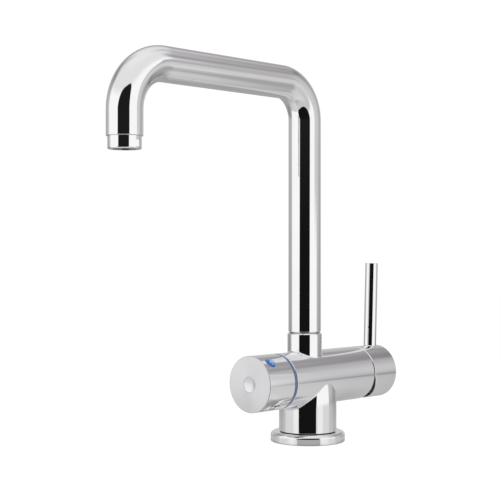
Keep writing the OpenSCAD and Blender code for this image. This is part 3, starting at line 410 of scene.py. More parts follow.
def holed(us, vs, middle, edge, rows=14):
    """A rectangular sheet with one hole: straight lines from the hole's edge out to the border.

    us and vs are the border's samples, and edge(turn) gives the hole's outline at each turn about its middle.
    The rows stand closer together towards the hole.
    """
    border = np.concatenate([
        np.column_stack([us[:-1], np.full(len(us) - 1, vs[0])]),
        np.column_stack([np.full(len(vs) - 1, us[-1]), vs[:-1]]),
        np.column_stack([us[:0:-1], np.full(len(us) - 1, vs[-1])]),
        np.column_stack([np.full(len(vs) - 1, us[0]), vs[:0:-1]]),
        [[us[0], vs[0]]],
    ])
    turn = np.unwrap(np.arctan2(border[:, 1] - middle[1], border[:, 0] - middle[0]))
    share = np.linspace(0, 1, rows)[:, None, None] ** 1.6
    hole = edge(turn)
    sheet = hole + share * (border - hole)
    return sheet[..., 0], sheet[..., 1], turn


def rolled(centres, radius, first, second, rows=9):
    """A fillet: an arc about each ball centre, from its normal on one surface to its normal on the other."""
    angle = np.arccos(np.clip((first * second).sum(-1), -1, 1))[:, None]
    share = np.linspace(0, 1, rows)[:, None, None]
    normals = (np.sin((1 - share) * angle) * first + np.sin(share * angle) * second) / np.sin(angle)
    return centres - radius * normals, normals


def built(name, sheets, finishes, body, stands_for, finish_of=None):
    """Joins sheets of points and normals into one closed mesh in metres and puts it on its body.

    Points within 0.0002 mm are welded, quads that narrow to a point become triangles, each face is turned to
    its sheet's normals, and every corner keeps its sheet's own normal, so that edges stay crisp.
    """
    points, normals, quads, marks, count = [], [], [], [], 0
    for number, (place, normal) in enumerate(sheets):
        high, wide = place.shape[:2]
        index = count + np.arange(high * wide).reshape(high, wide)
        quad = np.stack([index[:-1, :-1], index[:-1, 1:], index[1:, 1:], index[1:, :-1]], -1).reshape(-1, 4)
        quads.append(quad)
        marks.append(np.full(len(quad), 0 if finish_of is None else finish_of.get(number, 0)))
        points.append(place.reshape(-1, 3))
        normals.append(np.broadcast_to(normal, place.shape).reshape(-1, 3))
        count += high * wide
    points, normals = np.concatenate(points), np.concatenate(normals)
    quads, marks = np.concatenate(quads), np.concatenate(marks)
    normals = normals / np.linalg.norm(normals, axis=1)[:, None]
    facing = np.cross(points[quads[:, 2]] - points[quads[:, 0]], points[quads[:, 3]] - points[quads[:, 1]])
    wrong = (facing * normals[quads].sum(1)).sum(1) < 0
    quads[wrong] = quads[wrong, ::-1]
    _, first, weld = np.unique(np.round(points * 5000 + 0.137), axis=0, return_index=True, return_inverse=True)
    corners = weld.reshape(-1)[quads]
    kept = corners != np.roll(corners, -1, axis=1)
    kept[corners[:, 0] == corners[:, 2]] = False
    kept[corners[:, 1] == corners[:, 3]] = False
    whole = kept.sum(1) > 2
    kept, corners, quads, marks = kept[whole], corners[whole], quads[whole], marks[whole]
    mesh = bpy.data.meshes.new(name)
    mesh.vertices.add(len(first))
    mesh.vertices.foreach_set("co", (points[first] * 0.001).ravel())
    mesh.loops.add(int(kept.sum()))
    mesh.loops.foreach_set("vertex_index", corners[kept])
    mesh.polygons.add(len(kept))
    mesh.polygons.foreach_set("loop_start", np.concatenate([[0], np.cumsum(kept.sum(1))[:-1]]))
    mesh.polygons.foreach_set("material_index", marks)
    mesh.update(calc_edges=True)
    mesh.polygons.foreach_set("use_smooth", np.ones(len(kept), bool))
    mesh.normals_split_custom_set(normals[quads[kept]])
    for finish in finishes:
        mesh.materials.append(finish)
    piece = bpy.data.objects.new(name, mesh)
    bpy.context.scene.collection.objects.link(piece)
    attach(piece, body)
    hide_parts(*stands_for)
    return piece


def finish(name, light, dark, metallic, roughness, spread, grain, bump, depth=0.0002, detail=4):
    """A finish whose colour, roughness and surface all vary with one fine noise of the given grain per metre.

    Its colour goes from dark to light, its roughness rises by spread, and its bump is depth metres deep.
    """
    material = bpy.data.materials.new(name)
    material.use_nodes = True
    tree = material.node_tree
    shader = tree.nodes["Principled BSDF"]
    shader.inputs["Metallic"].default_value = metallic
    place = tree.nodes.new("ShaderNodeTexCoord")
    noise = tree.nodes.new("ShaderNodeTexNoise")
    noise.inputs["Scale"].default_value = grain
    noise.inputs["Detail"].default_value = detail
    tree.links.new(place.outputs["Object"], noise.inputs["Vector"])
    shades = tree.nodes.new("ShaderNodeMix")
    shades.data_type = "RGBA"
    shades.inputs["A"].default_value = (*dark, 1)
    shades.inputs["B"].default_value = (*light, 1)
    tree.links.new(step(tree, noise.outputs["Fac"], 0.3, 0.7), shades.inputs["Factor"])
    tree.links.new(shades.outputs["Result"], shader.inputs["Base Color"])
    rough = step(tree, noise.outputs["Fac"], 0.25, 0.75, roughness, roughness + spread)
    tree.links.new(rough, shader.inputs["Roughness"])
    raised = tree.nodes.new("ShaderNodeBump")
    raised.inputs["Strength"].default_value = bump
    raised.inputs["Distance"].default_value = depth
    tree.links.new(noise.outputs["Fac"], raised.inputs["Height"])
    tree.links.new(raised.outputs["Normal"], shader.inputs["Normal"])
    return material


chrome = finish("chrome", (0.93, 0.93, 0.94), (0.91, 0.91, 0.92), 1.0, 0.015, 0.015, 30, 0.008, detail=1)
# A near-black finish: painted shade, put on the column's foot groove and on the inside of the lever cap's rim.
shade_black = finish("shade_black", (0.045, 0.043, 0.042), (0.02, 0.02, 0.02), 0.4, 0.5, 0.2, 900, 0.4)


def column_outline(z):
    """The column's radius and the upward tilt of its normal: straight, then a long arc inwards."""
    rise = np.maximum(z - shoulder_z, 0)
    tilt = np.arcsin(rise / column_arc_r)
    return column_r - column_arc_r * (1 - np.cos(tilt)), tilt


def column_meets(turn):
    """Where the fillet's ball rests on column and barrel at each turn about the column.

    The height is found by halving: the ball's centre lies on the column's offset outline, and the barrel's
    axis has to be one barrel radius and one ball radius away from it.
    """
    below, above = np.full(turn.shape, 20.0), np.full(turn.shape, 51.5)
    for _ in range(48):
        z = (below + above) / 2
        radius, tilt = column_outline(z)
        out = radius + column_fillet * np.cos(tilt)
        up = z + column_fillet * np.sin(tilt) - barrel_z
        free = (out * np.sin(turn)) ** 2 + up ** 2 > (barrel_r + column_fillet) ** 2
        below, above = np.where(free, z, below), np.where(free, above, z)
    centres = np.stack([out * np.cos(turn), out * np.sin(turn), up + barrel_z], -1)
    on_column = np.stack([np.cos(tilt) * np.cos(turn), np.cos(tilt) * np.sin(turn), np.sin(tilt)], -1)
    return centres, on_column, z


def collar_meets(turn):
    """Where the fillet's ball rests on collar and barrel at each turn about the collar."""
    out = collar_r + collar_fillet
    side = out * np.sin(turn)
    up = np.sqrt((barrel_r + collar_fillet) ** 2 - side ** 2)
    centres = np.stack([collar_x + out * np.cos(turn), side, barrel_z + up], -1)
    return centres, np.stack([np.cos(turn), np.sin(turn), 0 * turn], -1), barrel_z + up


def from_barrel(centres):
    """The barrel's normal under each ball centre, and that contact as (x, angle) on the barrel."""
    away = (centres - (0, 0, barrel_z)) * (0, 1, 1)
    normal = away / np.linalg.norm(away, axis=-1)[..., None]
    return normal, np.stack([centres[..., 0], np.arctan2(normal[..., 2], normal[..., 1]) * barrel_r], -1)


barrel_at = (np.array((0, 0, barrel_z), float), X, Y)
window_xs = np.linspace(-window_x, window_x, 49)
under = np.radians(np.linspace(-180, 0, 65))
over = np.radians(np.linspace(0, 180, 65))
barrel_round = np.concatenate([under, over[1:]])
filter_bore = (
    (-15, 0), (-15, 9), (-20, 9), (-20, 11.5), (-29, 11.5), (-29, 10.45), (filter_end, 10.45, 0.2),
    (filter_end, 14.5, 0.2), (-25.2, 14.5), (-25.2, 20), (filter_end, 20, 0.2)
)
mixer_bore = ((mixer_end, 20.45, 0.2), (56, 20.45), (56, 17.75), (35, 17.75), (35, 0))
filter_half = profile(*filter_bore, (filter_end, barrel_r, end_edge), (-window_x, barrel_r))
mixer_half = profile((window_x, barrel_r), (mixer_end, barrel_r, end_edge), *mixer_bore)
casting = spun(filter_half + mixer_half, *barrel_at, barrel_round)

# Below: the barrel's sheet round the column, the fillet, the column's side and its foot.
xs, arcs, column_turn = holed(
    window_xs, under * barrel_r, (0, -math.pi / 2 * barrel_r), lambda turn: from_barrel(column_meets(turn)[0])[1]
)
casting.append(on_cylinder(xs, arcs / barrel_r, *barrel_at, barrel_r))
centres, on_column, column_heights = column_meets(column_turn)
casting.append(rolled(centres, column_fillet, from_barrel(centres)[0], on_column))
heights = column_foot + np.linspace(1, 0, 30)[:, None] * (column_heights - column_foot)
radius, tilt = column_outline(heights)
ring = np.stack([np.cos(column_turn), np.sin(column_turn), 0 * column_turn], -1)
casting.append((
    radius[..., None] * ring + heights[..., None] * Z, np.cos(tilt)[..., None] * ring + np.sin(tilt)[..., None] * Z
))
foot_ring = profile(
    (0, block_r), (24, block_r), (24, 19.5), (0, 19.5, 0.3), (0, 22, 0.3), (8.5, 22), (8.5, groove_r),
    (groove_top, groove_r)
)
casting += spun(foot_ring, 0 * Z, Z, X, column_turn)
# The groove's inner wall gets the near-black finish: painted shade in the narrow gap at the column's foot.
groove = len(casting) - 1
foot_edge = profile((groove_top, groove_r), (groove_top, column_r, 0.3), (column_foot, column_r))
casting += spun(foot_edge, 0 * Z, Z, X, column_turn)

# Above: the barrel's sheet round the collar, the fillet, the collar's side but for the screw's place, and its bore.
xs, arcs, over_turn = holed(
    window_xs, over * barrel_r, (collar_x, math.pi / 2 * barrel_r),
    lambda turn: from_barrel(collar_meets(-turn)[0])[1]
)
casting.append(on_cylinder(xs, arcs / barrel_r, *barrel_at, barrel_r))
collar_turn = -over_turn
centres, on_collar, collar_heights = collar_meets(collar_turn)
casting.append(rolled(centres, collar_fillet, from_barrel(centres)[0], on_collar))
collar_at = (np.array((collar_x, 0, 0), float), Z, X)
heights = screw_low + np.linspace(1, 0, 6)[:, None] * (collar_heights - screw_low)
casting.append(on_cylinder(heights, collar_turn + 0 * heights, *collar_at, collar_r))
from_back = (collar_turn + math.pi / 2) % (2 * math.pi) - math.pi
window = np.flatnonzero(np.abs(from_back) < screw_side)
rows_up = np.linspace(screw_low, screw_high, 9)
casting += around_gap(rows_up, collar_turn, window, *collar_at, collar_r)
collar_bore = ((collar_top, 11.8, 0.2), (72, 11.8), (72, 3.84), (86, 3.84, 0.2), (86, 2.2), (78, 2.2), (78, 0))
collar_end = profile((screw_high, collar_r), (92.5, collar_r, 0.25), (collar_top, 13.8, 0.25), *collar_bore)
casting += spun(collar_end, *collar_at, collar_turn)


def closed_off(ring, middle, normal):
    """A flat fan from a ring of points to its middle."""
    return np.stack([ring, np.broadcast_to(middle, ring.shape)]), normal + 0 * ring[None]


def drilled(middle_place, middle_angle, us, vs, hole_r, edge, origin, axis, start, radius, floor_at):
    """A round hole let into a cylinder: the holed sheet round it, its rounded rim, its wall and its flat floor."""
    side = np.cross(axis, start)
    across = math.cos(middle_angle) * side - math.sin(middle_angle) * start
    inward = -(math.cos(middle_angle) * start + math.sin(middle_angle) * side)

    def rim(turn):
        place, angle = (hole_r + edge) * np.cos(turn), np.arcsin((hole_r + edge) * np.sin(turn) / radius)
        return np.stack([middle_place + place, (middle_angle + angle) * radius], -1)

    xs, arcs, turn = holed(us, vs * radius, (middle_place, middle_angle * radius), rim, 10)
    sheets = [on_cylinder(xs, arcs / radius, origin, axis, start, radius)]
    outer, outer_normal = sheets[0][0][0], sheets[0][1][0]
    toward = -(np.cos(turn)[:, None] * axis + np.sin(turn)[:, None] * across)
    angle = np.linspace(0, math.pi / 2, 6)[:, None, None]
    bend = outer + edge * (1 - np.cos(angle)) * inward + edge * np.sin(angle) * toward
    sheets.append((bend, np.cos(angle) * outer_normal + np.sin(angle) * toward))
    middle = origin + middle_place * axis - floor_at * inward
    down = ((middle - bend[-1]) @ inward)[:, None] * inward
    sheets.append((np.stack([bend[-1], bend[-1] + down]), np.stack([toward, toward])))
    sheets.append(closed_off(bend[-1] + down, middle, -inward))
    return sheets


casting += drilled(
    screw_z, math.pi / 2, rows_up, collar_turn[window][::-1] % (2 * math.pi), screw_hole_r, 0.2, *collar_at,
    collar_r, 12.1
)

# The block's flat underside, filled in between its rim and the holes' rims, and the holes.
inlet_turns = np.linspace(0, 2 * math.pi, 49)
rims = [(0, 0, block_r, column_turn)] + [(x, y, r, inlet_turns) for x, y, r, depth in inlets]
rim_points, rim_edges, count = [], [], 0
for x, y, r, turns in rims:
    number = np.arange(len(turns) - 1)
    rim_points.append(np.column_stack([x + r * np.cos(turns[:-1]), y + r * np.sin(turns[:-1]), 0 * number]))
    rim_edges.append(count + np.column_stack([number, np.roll(number, -1)]))
    count += len(number)
rim_points, rim_edges = np.concatenate(rim_points), np.concatenate(rim_edges)
rim_mesh = bpy.data.meshes.new("underside_rims")
rim_mesh.from_pydata(rim_points.tolist(), rim_edges.tolist(), [])
underside = bmesh.new()
underside.from_mesh(rim_mesh)
bpy.data.meshes.remove(rim_mesh)
bmesh.ops.triangle_fill(underside, use_beauty=True, edges=underside.edges[:], normal=(0, 0, -1))
for face in underside.faces:
    a, b, c = rim_points[[vertex.index for vertex in face.verts]]
    corner = np.array([[a, b], [c, c]])
    casting.append((corner, -Z + 0 * corner))
underside.free()
for x, y, r, depth in inlets:
    casting += spun(profile((depth, 0), (depth, r), (0, r)), np.array((x, y, 0), float), Z, X, inlet_turns)

built("casting", casting, [chrome, shade_black], "tap_body", ["body_casting"], {groove: 1})


# Base flange: a turned brass washer slipped over the column's foot, chromed. Its underside is grooved for
# the rubber ring that seals it to the deck.
flange_r, flange_in_r, flange_h, flange_round = 32, 22.1, 8.5, 3.2
seal_in_r, seal_out_r, seal_deep = 25.5, 29.5, 2.5
round_turns = np.linspace(0, 2 * math.pi, 193)
flange = profile(
    (0.4, flange_in_r), (0, 22.5), (0, seal_in_r), (seal_deep, seal_in_r), (seal_deep, seal_out_r), (0, seal_out_r),
    (0, flange_r, 0.6), (flange_h, flange_r, flange_round), (flange_h, flange_in_r, 0.4), (0.4, flange_in_r)
)
built("flange", spun(flange, 0 * Z, Z, X, round_turns), [chrome], "tap_body", ["base_flange"])


# Spout: one length of brass tube, drawn round two bends, polished and chromed. It turns in the collar on a
# plastic washer, and its foot and mouth are lightly chamfered.
tube_r, tube_in_r = 14, 12.6
foot_z, arm_z, bend_r, drop_r = 94.1, 307, 31, 38
outlet_x, mouth_z = -206, 249.3
rise, arm = arm_z - bend_r - foot_z, collar_x - outlet_x - bend_r - drop_r
bend_arc, drop_arc = math.pi / 2 * bend_r, math.pi / 2 * drop_r
drop_start = rise + bend_arc + arm
tube_length = drop_start + drop_arc + arm_z - drop_r - mouth_z
foot_chamfer, foot_band, mouth_start = 0.8, 1.6, tube_length - 1.2


def carried(rows, turns):
    """The tube's outline carried along its centreline: place is the length from the foot.

    The centreline goes up, round a quarter bend, along the arm, round a wider one and down. At each length
    it has a middle and an outward direction; point = middle + radius * (cos outward + sin Y).
    """
    sheets = []
    for row in rows:
        length = row[:, 0]
        first = np.clip(length - rise, 0, bend_arc) / bend_r
        second = np.clip(length - drop_start, 0, drop_arc) / drop_r
        turn = first + second
        along = bend_r * (1 - np.cos(first)) + np.clip(length - rise - bend_arc, 0, arm) + drop_r * np.sin(second)
        middle_x = collar_x - along
        middle_z = foot_z + np.clip(length, None, rise) + bend_r * np.sin(first) - drop_r * (1 - np.cos(second))
        middle_z = middle_z - np.maximum(length - drop_start - drop_arc, 0)
        middle = np.stack([middle_x, 0 * length, middle_z], -1)[:, None]
        outward = np.stack([np.cos(turn), 0 * turn, np.sin(turn)], -1)[:, None]
        ahead = np.stack([-np.sin(turn), 0 * turn, np.cos(turn)], -1)[:, None]
        ring = np.cos(turns)[:, None] * outward + np.sin(turns)[:, None] * Y
        sheets.append((middle + row[:, None, 1:2] * ring, row[:, None, 3:4] * ring + row[:, None, 2:3] * ahead))
    return sheets


stations = np.concatenate([
    [foot_band, rise / 2], np.linspace(rise, rise + bend_arc, 49),
    np.linspace(drop_start, drop_start + drop_arc, 49), [mouth_start]
])
outside = np.column_stack([stations, 0 * stations + tube_r, 0 * stations, 0 * stations + 1])
inside = outside[::-1] * (1, tube_in_r / tube_r, 1, -1)
foot_end = profile(
    (foot_band, tube_in_r), (0, tube_in_r, 0.2), (0, tube_r - foot_chamfer, 0.2), (foot_chamfer, tube_r, 0.3),
    (foot_band, tube_r)
)
mouth_end = profile(
    (mouth_start, tube_r), (tube_length, tube_r, 0.4), (tube_length, tube_in_r, 0.2), (mouth_start, tube_in_r)
)
tube_turns = np.linspace(0, 2 * math.pi, 145)
spout = carried(foot_end + [outside] + mouth_end + [inside], tube_turns)
built("spout", spout, [chrome], "spout_assembly", ["spout_tube"])


# Aerator housing: a turned brass ring screwed into the spout's mouth, chromed, with two flats for a key.
aerator_r, aerator_low, aerator_high, thread_r, thread_top = 12.85, 239.5, 249.2, 11.35, 254.4
flat_y, flat_low, flat_high = 12.35, 241, 246
outlet = np.array((outlet_x, 0, 0), float)
half = math.acos(flat_y / aerator_r)
aerator_turns = np.unique(np.concatenate([
    np.linspace(a, b, n) for a, b, n in (
        (0, math.pi / 2 - half, 33), (math.pi / 2 - half, math.pi / 2 + half, 17),
        (math.pi / 2 + half, 3 * math.pi / 2 - half, 65), (3 * math.pi / 2 - half, 3 * math.pi / 2 + half, 17),
        (3 * math.pi / 2 + half, 2 * math.pi, 33)
    )
]).round(12))
flatted = np.minimum(aerator_r, flat_y / np.maximum(np.abs(np.sin(aerator_turns)), 0.1))
aerator_ring = np.stack([np.cos(aerator_turns), np.sin(aerator_turns), 0 * aerator_turns], -1)
cut = flatted < aerator_r - 1e-6
below_flats = profile(
    (thread_top, thread_r), (thread_top, 9.9), (aerator_low + 1.2, 9.9), (aerator_low + 1.2, 9.2),
    (aerator_low, 9.2, 0.2), (aerator_low, aerator_r, 1.1), (flat_low, aerator_r)
)
above_flats = profile(
    (flat_high, aerator_r), (aerator_high, aerator_r, 0.2), (aerator_high, thread_r), (thread_top, thread_r)
)
aerator = spun(below_flats + above_flats, outlet, Z, X, aerator_turns)
for level, facing in ((flat_low, Z), (flat_high, -Z)):
    full = outlet + level * Z + aerator_r * aerator_ring
    aerator.append((np.stack([full, outlet + level * Z + flatted[:, None] * aerator_ring]), facing + 0 * full[None]))
for stretch in np.split(np.arange(len(cut)), np.flatnonzero(np.diff(cut)) + 1):
    if cut[stretch[0]]:
        stretch = np.arange(stretch[0] - 1, stretch[-1] + 2)
    ring = aerator_ring[stretch]
    edge = flatted[stretch][:, None] * ring
    faced = np.sign(ring[len(ring) // 2, 1]) * Y + 0 * ring if cut[stretch[1]] else ring
    aerator.append((outlet + np.stack([edge + flat_low * Z, edge + flat_high * Z]), np.stack([faced, faced])))
built("aerator", aerator, [chrome], "spout_assembly", ["aerator_housing"])


# Blue ring: a moulded plastic ring pressed into the barrel's end with a lip, which marks the filtered side.
blue_plastic = finish("blue_plastic", (0.135, 0.205, 0.34), (0.115, 0.18, 0.31), 0.0, 0.28, 0.1, 900, 0.05, 0.00005)
ring_end = -41.6
blue = profile(
    (ring_end, 16.5), (ring_end, 23.25, 0.3), (filter_end, 23.25), (filter_end, 19.95), (-37.2, 19.95),
    (-37.2, 18.8), (filter_end, 18.8), (filter_end, 15.5), (ring_end, 15.5, 0.3), (ring_end, 16.5)
)
built("blue_band", spun(blue, *barrel_at, barrel_round), [blue_plastic], "tap_body", ["blue_ring"])


# Filter knob: a turned brass cup on the valve's spindle, chromed. Its side is polished, its face is left
# with fine turning lines, and a seat is milled in its side for the blue insert.
knob_face, knob_back, knob_wall_r = -72.5, -42, 20.8
gem_x, gem_turn, gem_r = -62.5, math.radians(128), 4.7
seat_half, seat_side, seat_floor = 7.5, 0.36, 21.2

# The turning lines run round the barrel's axis, too fine to see, and stretch the highlights.
spun_chrome = finish("turned_chrome", (0.80, 0.80, 0.815), (0.78, 0.78, 0.795), 1.0, 0.26, 0.03, 60, 0.0)
lined = spun_chrome.node_tree
shader = lined.nodes["Principled BSDF"]
shader.inputs["Anisotropic"].default_value = 0.85
lined.links.remove(shader.inputs["Normal"].links[0])
placed = lined.nodes.new("ShaderNodeTexCoord")
centred = lined.nodes.new("ShaderNodeMapping")
centred.inputs["Location"].default_value = (0, 0, -barrel_z * 0.001)
lined.links.new(placed.outputs["Object"], centred.inputs["Vector"])
around = lined.nodes.new("ShaderNodeVectorMath")
around.operation = "CROSS_PRODUCT"
around.inputs[0].default_value = (1, 0, 0)
lined.links.new(centred.outputs[0], around.inputs[1])
lined.links.new(around.outputs[0], shader.inputs["Tangent"])

seat_xs = np.linspace(gem_x - seat_half, gem_x + seat_half, 17)
in_seat = np.flatnonzero(np.abs(round_turns - gem_turn) < seat_side)
knob = spun(
    profile(
        (-69.6, 0), (-69.6, 6.65), (knob_face, 6.65, 0.12), (knob_face, barrel_r, end_edge), (seat_xs[0], barrel_r)
    ),
    *barrel_at, round_turns
)
knob_finish = {2: 1, 3: 1, 4: 1}
knob += spun(
    profile(
        (seat_xs[-1], barrel_r), (knob_back, barrel_r, end_edge), (knob_back, knob_wall_r, 0.3), (-69, knob_wall_r),
        (-69, 9), (-53, 9), (-53, 3.9), (-64, 3.9), (-64, 0)
    ),
    *barrel_at, round_turns
)
knob += around_gap(seat_xs, round_turns, in_seat, *barrel_at, barrel_r)
knob += drilled(gem_x, gem_turn, seat_xs, round_turns[in_seat], gem_r + 0.05, 0.3, *barrel_at, barrel_r, seat_floor)
built("knob", knob, [chrome, spun_chrome], "knob_assembly", ["filter_knob"], knob_finish)


# Knob cap: a small dished chrome button pressed into the knob's face over its screw.
dish_r, dish_depth, button_r, button_top = 26, 0.8, 6.6, -72.4
dish_half = math.sqrt(dish_r ** 2 - (dish_r - dish_depth) ** 2)
dish_angles = np.linspace(0, math.asin(dish_half / dish_r), 13)
dish = np.column_stack([
    button_top + dish_depth - dish_r * (1 - np.cos(dish_angles)), dish_r * np.sin(dish_angles),
    -np.cos(dish_angles), -np.sin(dish_angles)
])
button = [dish] + profile(
    (button_top, dish_half), (button_top, button_r, 0.15), (-69.6, button_r), (-69.6, 0)
)
satin_chrome = finish("satin_chrome", (0.88, 0.88, 0.895), (0.84, 0.84, 0.855), 1.0, 0.26, 0.04, 200, 0.02)
built("knob_button", spun(button, *barrel_at, round_turns), [satin_chrome], "knob_assembly", ["knob_cap"])


# Indicator gem: a faceted insert of clear blue acrylic, glued into the knob's seat. Some of its facets are
# painted a pale cyan: painted highlights.
gem_sides = 8
gem_blue = finish("gem_blue", (0.06, 0.20, 0.66), (0.03, 0.10, 0.46), 0.5, 0.06, 0.05, 400, 0.1)
# A pale cyan copy of the gem's finish: a painted highlight for the facets listed below.
gem_painted_glint = finish("gem_painted_glint", (0.30, 0.74, 1.0), (0.16, 0.52, 0.95), 0.5, 0.06, 0.05, 500, 0.1)
for shade in (gem_blue, gem_painted_glint):
    shade.node_tree.nodes["Principled BSDF"].inputs["Coat Weight"].default_value = 0.7
out_of = math.cos(gem_turn) * Y + math.sin(gem_turn) * Z
beside = math.cos(gem_turn) * Z - math.sin(gem_turn) * Y
gem_middle = np.array((gem_x, 0, barrel_z), float)
gem_back = gem_middle + 20 * out_of


def gem_ring(radius, height):
    """Corners of one facet ring: evenly spaced about the insert's middle, at a height above the barrel's axis."""
    turns = (np.arange(gem_sides + 1) + 0.5) * 2 * math.pi / gem_sides
    return gem_middle + height * out_of + radius * (np.cos(turns)[:, None] * X + np.sin(turns)[:, None] * beside)


def facets(lower, upper):
    """Flat facets between two rings of corners, each with its own normal."""
    sheets = []
    for i in range(len(lower) - 1):
        corners = np.array([[lower[i], lower[i + 1]], [upper[i], upper[i + 1]]])
        flat = np.cross(corners[0, 1] - corners[0, 0], corners[1, 0] + corners[1, 1] - 2 * corners[0, 0])
        flat = flat * np.sign(flat @ (corners.mean((0, 1)) - gem_back))
        sheets.append((corners, flat + 0 * corners))
    return sheets


table, middle, girdle, below = (
    gem_ring(*sizes) for sizes in ((1.9, 24.6), (3.5, 24.2), (gem_r, 23.4), (gem_r, seat_floor))
)
gem = facets(middle, table) + facets(girdle, middle) + facets(below, girdle)
glint_facets = {number: 1 for number in (0, 1, 5, 8, 24)}
for ring, facing in ((table, 1), (below, -1)):
    gem.append(closed_off(ring, ring[:-1].mean(0), facing * out_of))
built("gem", gem, [gem_blue, gem_painted_glint], "knob_assembly", ["indicator_gem"], glint_facets)


# Lever cap: a turned brass cup on the cartridge's stem, chromed. Its rim is cut back below the axis so that
# the cap can tip up, and a plug underneath hides its fixing screw. Inside, its hub and web are bare turned metal.
rim_x, cap_end, cap_in_r, relief = 64.6, 95.5, 20.8, math.radians(21.5)
relief_soft, rim_edge, lip_edge = 1.5, 0.8, 1.5


def rim_cut(depth):
    """How far the rim is cut back at a depth below the axis, and its slope: a straight cut, softly begun."""
    start = np.clip(depth + relief_soft, 0, 2 * relief_soft)
    back = math.tan(relief) * (start ** 2 / (4 * relief_soft) + np.maximum(depth - relief_soft, 0))
    return back, math.tan(relief) * start / (2 * relief_soft)


def rim_bend(turns, radius, edge, side):
    """The rim's rounded edge: a ball rolled along it, from the rim's normal to the wall's."""
    ball_r = radius - side * edge
    back, slope = rim_cut(-ball_r * np.sin(turns))
    size = np.sqrt(1 + slope ** 2)
    wall = np.stack([0 * turns, np.cos(turns), np.sin(turns)], -1)
    centres = ball_r * wall + barrel_z * Z + (rim_x + back + edge * size)[:, None] * X
    rim = np.stack([-1 / size, 0 * turns, -slope / size], -1)
    return rolled(centres, -edge, rim, side * wall)


cap_turns = np.linspace(-math.pi, math.pi, 193)
outer_bend = rim_bend(cap_turns, barrel_r, rim_edge, 1)
inner_bend = rim_bend(cap_turns, cap_in_r, lip_edge, -1)
share = np.linspace(0, 1, 4)[:, None, None]
lever = [outer_bend, inner_bend]
lever.append(tuple(outer[0] + share * (inner[0] - outer[0]) for outer, inner in zip(outer_bend, inner_bend)))
plug_x, plug_r, plug_half, plug_side, web_x = 84, 3.05, 6, 0.3, 80
plug_xs = np.linspace(plug_x - plug_half, plug_x + plug_half, 13)
in_plug = np.flatnonzero(np.abs(cap_turns + math.pi / 2) < plug_side)
for bend, end, radius in ((outer_bend, plug_xs[0], barrel_r), (inner_bend, web_x, cap_in_r)):
    start = bend[0][-1, :, 0]
    along = start + np.linspace(0, 1, 3)[:, None] * (end - start)
    inner_wall = len(lever)
    place, normal = on_cylinder(along, cap_turns + 0 * along, *barrel_at, radius)
    lever.append((place, normal if radius == barrel_r else -normal))
lever += around_gap(plug_xs, cap_turns, in_plug, *barrel_at, barrel_r)
lever += drilled(plug_x, -math.pi / 2, plug_xs, cap_turns[in_plug], plug_r, 0.15, *barrel_at, barrel_r, 21.15)
cap_far = len(lever) + 2
lever += spun(profile((plug_xs[-1], barrel_r), (cap_end, barrel_r, end_edge), (cap_end, 0)), *barrel_at, cap_turns)
lever += spun(profile((77, 0), (77, 9.5), (web_x, 9.5), (web_x, cap_in_r)), *barrel_at, cap_turns)
# The rim's inner lip and inner wall get the near-black finish: painted shade inside the cap's gap.
inside = {1: 2, inner_wall: 2, cap_far + 1: 3, cap_far + 2: 3, cap_far + 3: 3}
cap_floor = finish("cap_floor", (0.90, 0.90, 0.91), (0.32, 0.32, 0.33), 0.1, 0.45, 0.2, 700, 0.3)
lever_finishes = [chrome, spun_chrome, shade_black, cap_floor]
built("lever", lever, lever_finishes, "lever_assembly", ["lever_cap"], {cap_far: 1} | inside)


# Lever rod: a turned steel rod screwed into the cap, leaning out a little, polished and chromed. Its foot
# is shaped to the cap's round side.
rod_x, rod_r, rod_top, lean = 85.7, 5.7, 152.7, math.radians(2)
rod_fillet, rod_sink = 0.6, 0.4
rod_along = math.sin(lean) * X + math.cos(lean) * Z
rod_side = math.cos(lean) * X - math.sin(lean) * Z
rod_foot = np.array((rod_x, 0, barrel_z), float)
rod_turns = np.linspace(0, 2 * math.pi, 97)
ring = np.cos(rod_turns)[:, None] * rod_side + np.sin(rod_turns)[:, None] * Y
spread = (rod_r + rod_fillet) * ring
reach = np.sqrt((barrel_r + rod_fillet) ** 2 - spread[:, 1] ** 2)
centres = rod_foot + spread + ((reach - spread[:, 2]) / math.cos(lean))[:, None] * rod_along
cap_normal = from_barrel(centres)[0]
foot = rolled(centres, rod_fillet, cap_normal, ring)
bottom = foot[0][0] - rod_sink * cap_normal
rod = [foot, (np.stack([foot[0][0], bottom]), np.stack([ring, ring]))]
rod.append(closed_off(bottom, bottom[:-1].mean(0), -rod_along))
rod_length = (rod_top - barrel_z) / math.cos(lean)
top_start = rod_length - 1
start = (foot[0][-1] - rod_foot) @ rod_along
along = start + np.linspace(0, 1, 5)[:, None] * (top_start - start)
rod.append((rod_foot + along[..., None] * rod_along + rod_r * ring, ring + 0 * along[..., None]))
top = profile((top_start, rod_r), (rod_length, rod_r, 0.4), (rod_length, 0))
rod += spun(top, rod_foot, rod_along, rod_side, rod_turns)
built("rod", rod, [chrome], "lever_assembly", ["lever_rod"])


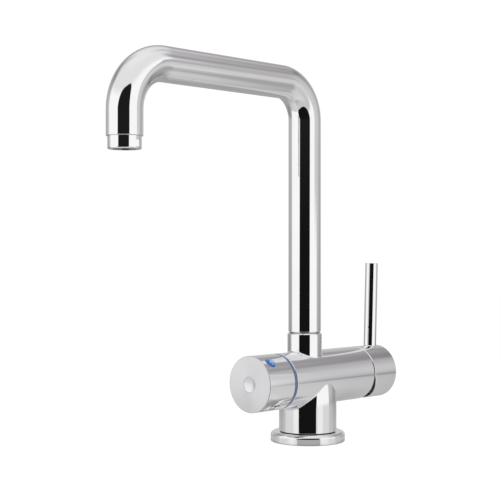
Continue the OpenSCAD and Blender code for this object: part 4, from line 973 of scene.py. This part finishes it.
# Dome: a spun metal cover over the cartridge's nut, seen only through the gap under the lever cap. It is part
# of a ball about the lever's own pivot, cut off flat, with a hole for the stem.
dome_x, dome_foot, dome_end = 62, 64.5, 71.5
dome_r, dome_wall, dome_hole = 20.2, 1.4, 14
dome_metal = finish("dome_metal", (0.95, 0.95, 0.96), (0.40, 0.40, 0.41), 0.1, 0.45, 0.2, 700, 0.3)
shell = []
for side, size, near, far in (
    (1, dome_r, dome_foot, dome_end), (-1, dome_r - dome_wall, dome_end - dome_wall, dome_foot)
):
    angles = np.linspace(math.acos((near - dome_x) / size), math.acos((far - dome_x) / size), 17)
    round_it = np.column_stack([np.cos(angles), np.sin(angles)])
    shell.append(np.column_stack([size * round_it, side * round_it]))
outer, inner = shell
shell += profile(
    outer[-1, :2], (dome_end - dome_x, dome_hole, 0.3), (inner[0, 0], dome_hole, 0.2), inner[0, :2]
) + profile(inner[-1, :2], outer[0, :2])
dome = spun(shell, np.array((dome_x, 0, barrel_z), float), X, Y, round_turns)
built("dome", dome, [dome_metal], "tap_body", ["dome_shroud"])


# Inner pieces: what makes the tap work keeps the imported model's own shapes. Brass is turned, steel is
# plain stainless, the seals are black rubber, and the cartridges are moulded plastic with ceramic discs.
bright_brass = finish("brass", (0.78, 0.58, 0.28), (0.66, 0.47, 0.20), 1.0, 0.25, 0.15, 600, 0.15)
steel = finish("steel", (0.62, 0.62, 0.63), (0.52, 0.52, 0.53), 1.0, 0.22, 0.15, 700, 0.12)
rubber = finish("rubber", (0.030, 0.030, 0.031), (0.018, 0.018, 0.018), 0.0, 0.55, 0.2, 1500, 0.3)
white_plastic = finish("white_plastic", (0.78, 0.77, 0.73), (0.70, 0.69, 0.65), 0.0, 0.38, 0.12, 900, 0.1)
dark_plastic = finish("dark_plastic", (0.050, 0.050, 0.054), (0.030, 0.030, 0.033), 0.0, 0.35, 0.15, 1100, 0.2)
red_plastic = finish("red_plastic", (0.55, 0.06, 0.05), (0.44, 0.04, 0.035), 0.0, 0.35, 0.12, 900, 0.1)
ceramic = finish("ceramic", (0.86, 0.85, 0.81), (0.80, 0.79, 0.75), 0.0, 0.10, 0.08, 500, 0.05)
inner_finishes = {
    "brass": bright_brass, "steel": steel, "rubber": rubber, "white_plastic": white_plastic, "ceramic": ceramic,
    "dark_plastic": dark_plastic, "red_plastic": red_plastic, "chrome": chrome, "blue_plastic": blue_plastic,
    "gem": gem_blue, "shroud": dome_metal
}
for part in frame["record"]["subparts"]:
    for place in nodes[part["node"]].material_slots:
        place.material = inner_finishes[part["material_slot"]]

size = {"cad": [list(cad_low), list(cad_high)], "scene": [list(corner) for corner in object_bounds()]}
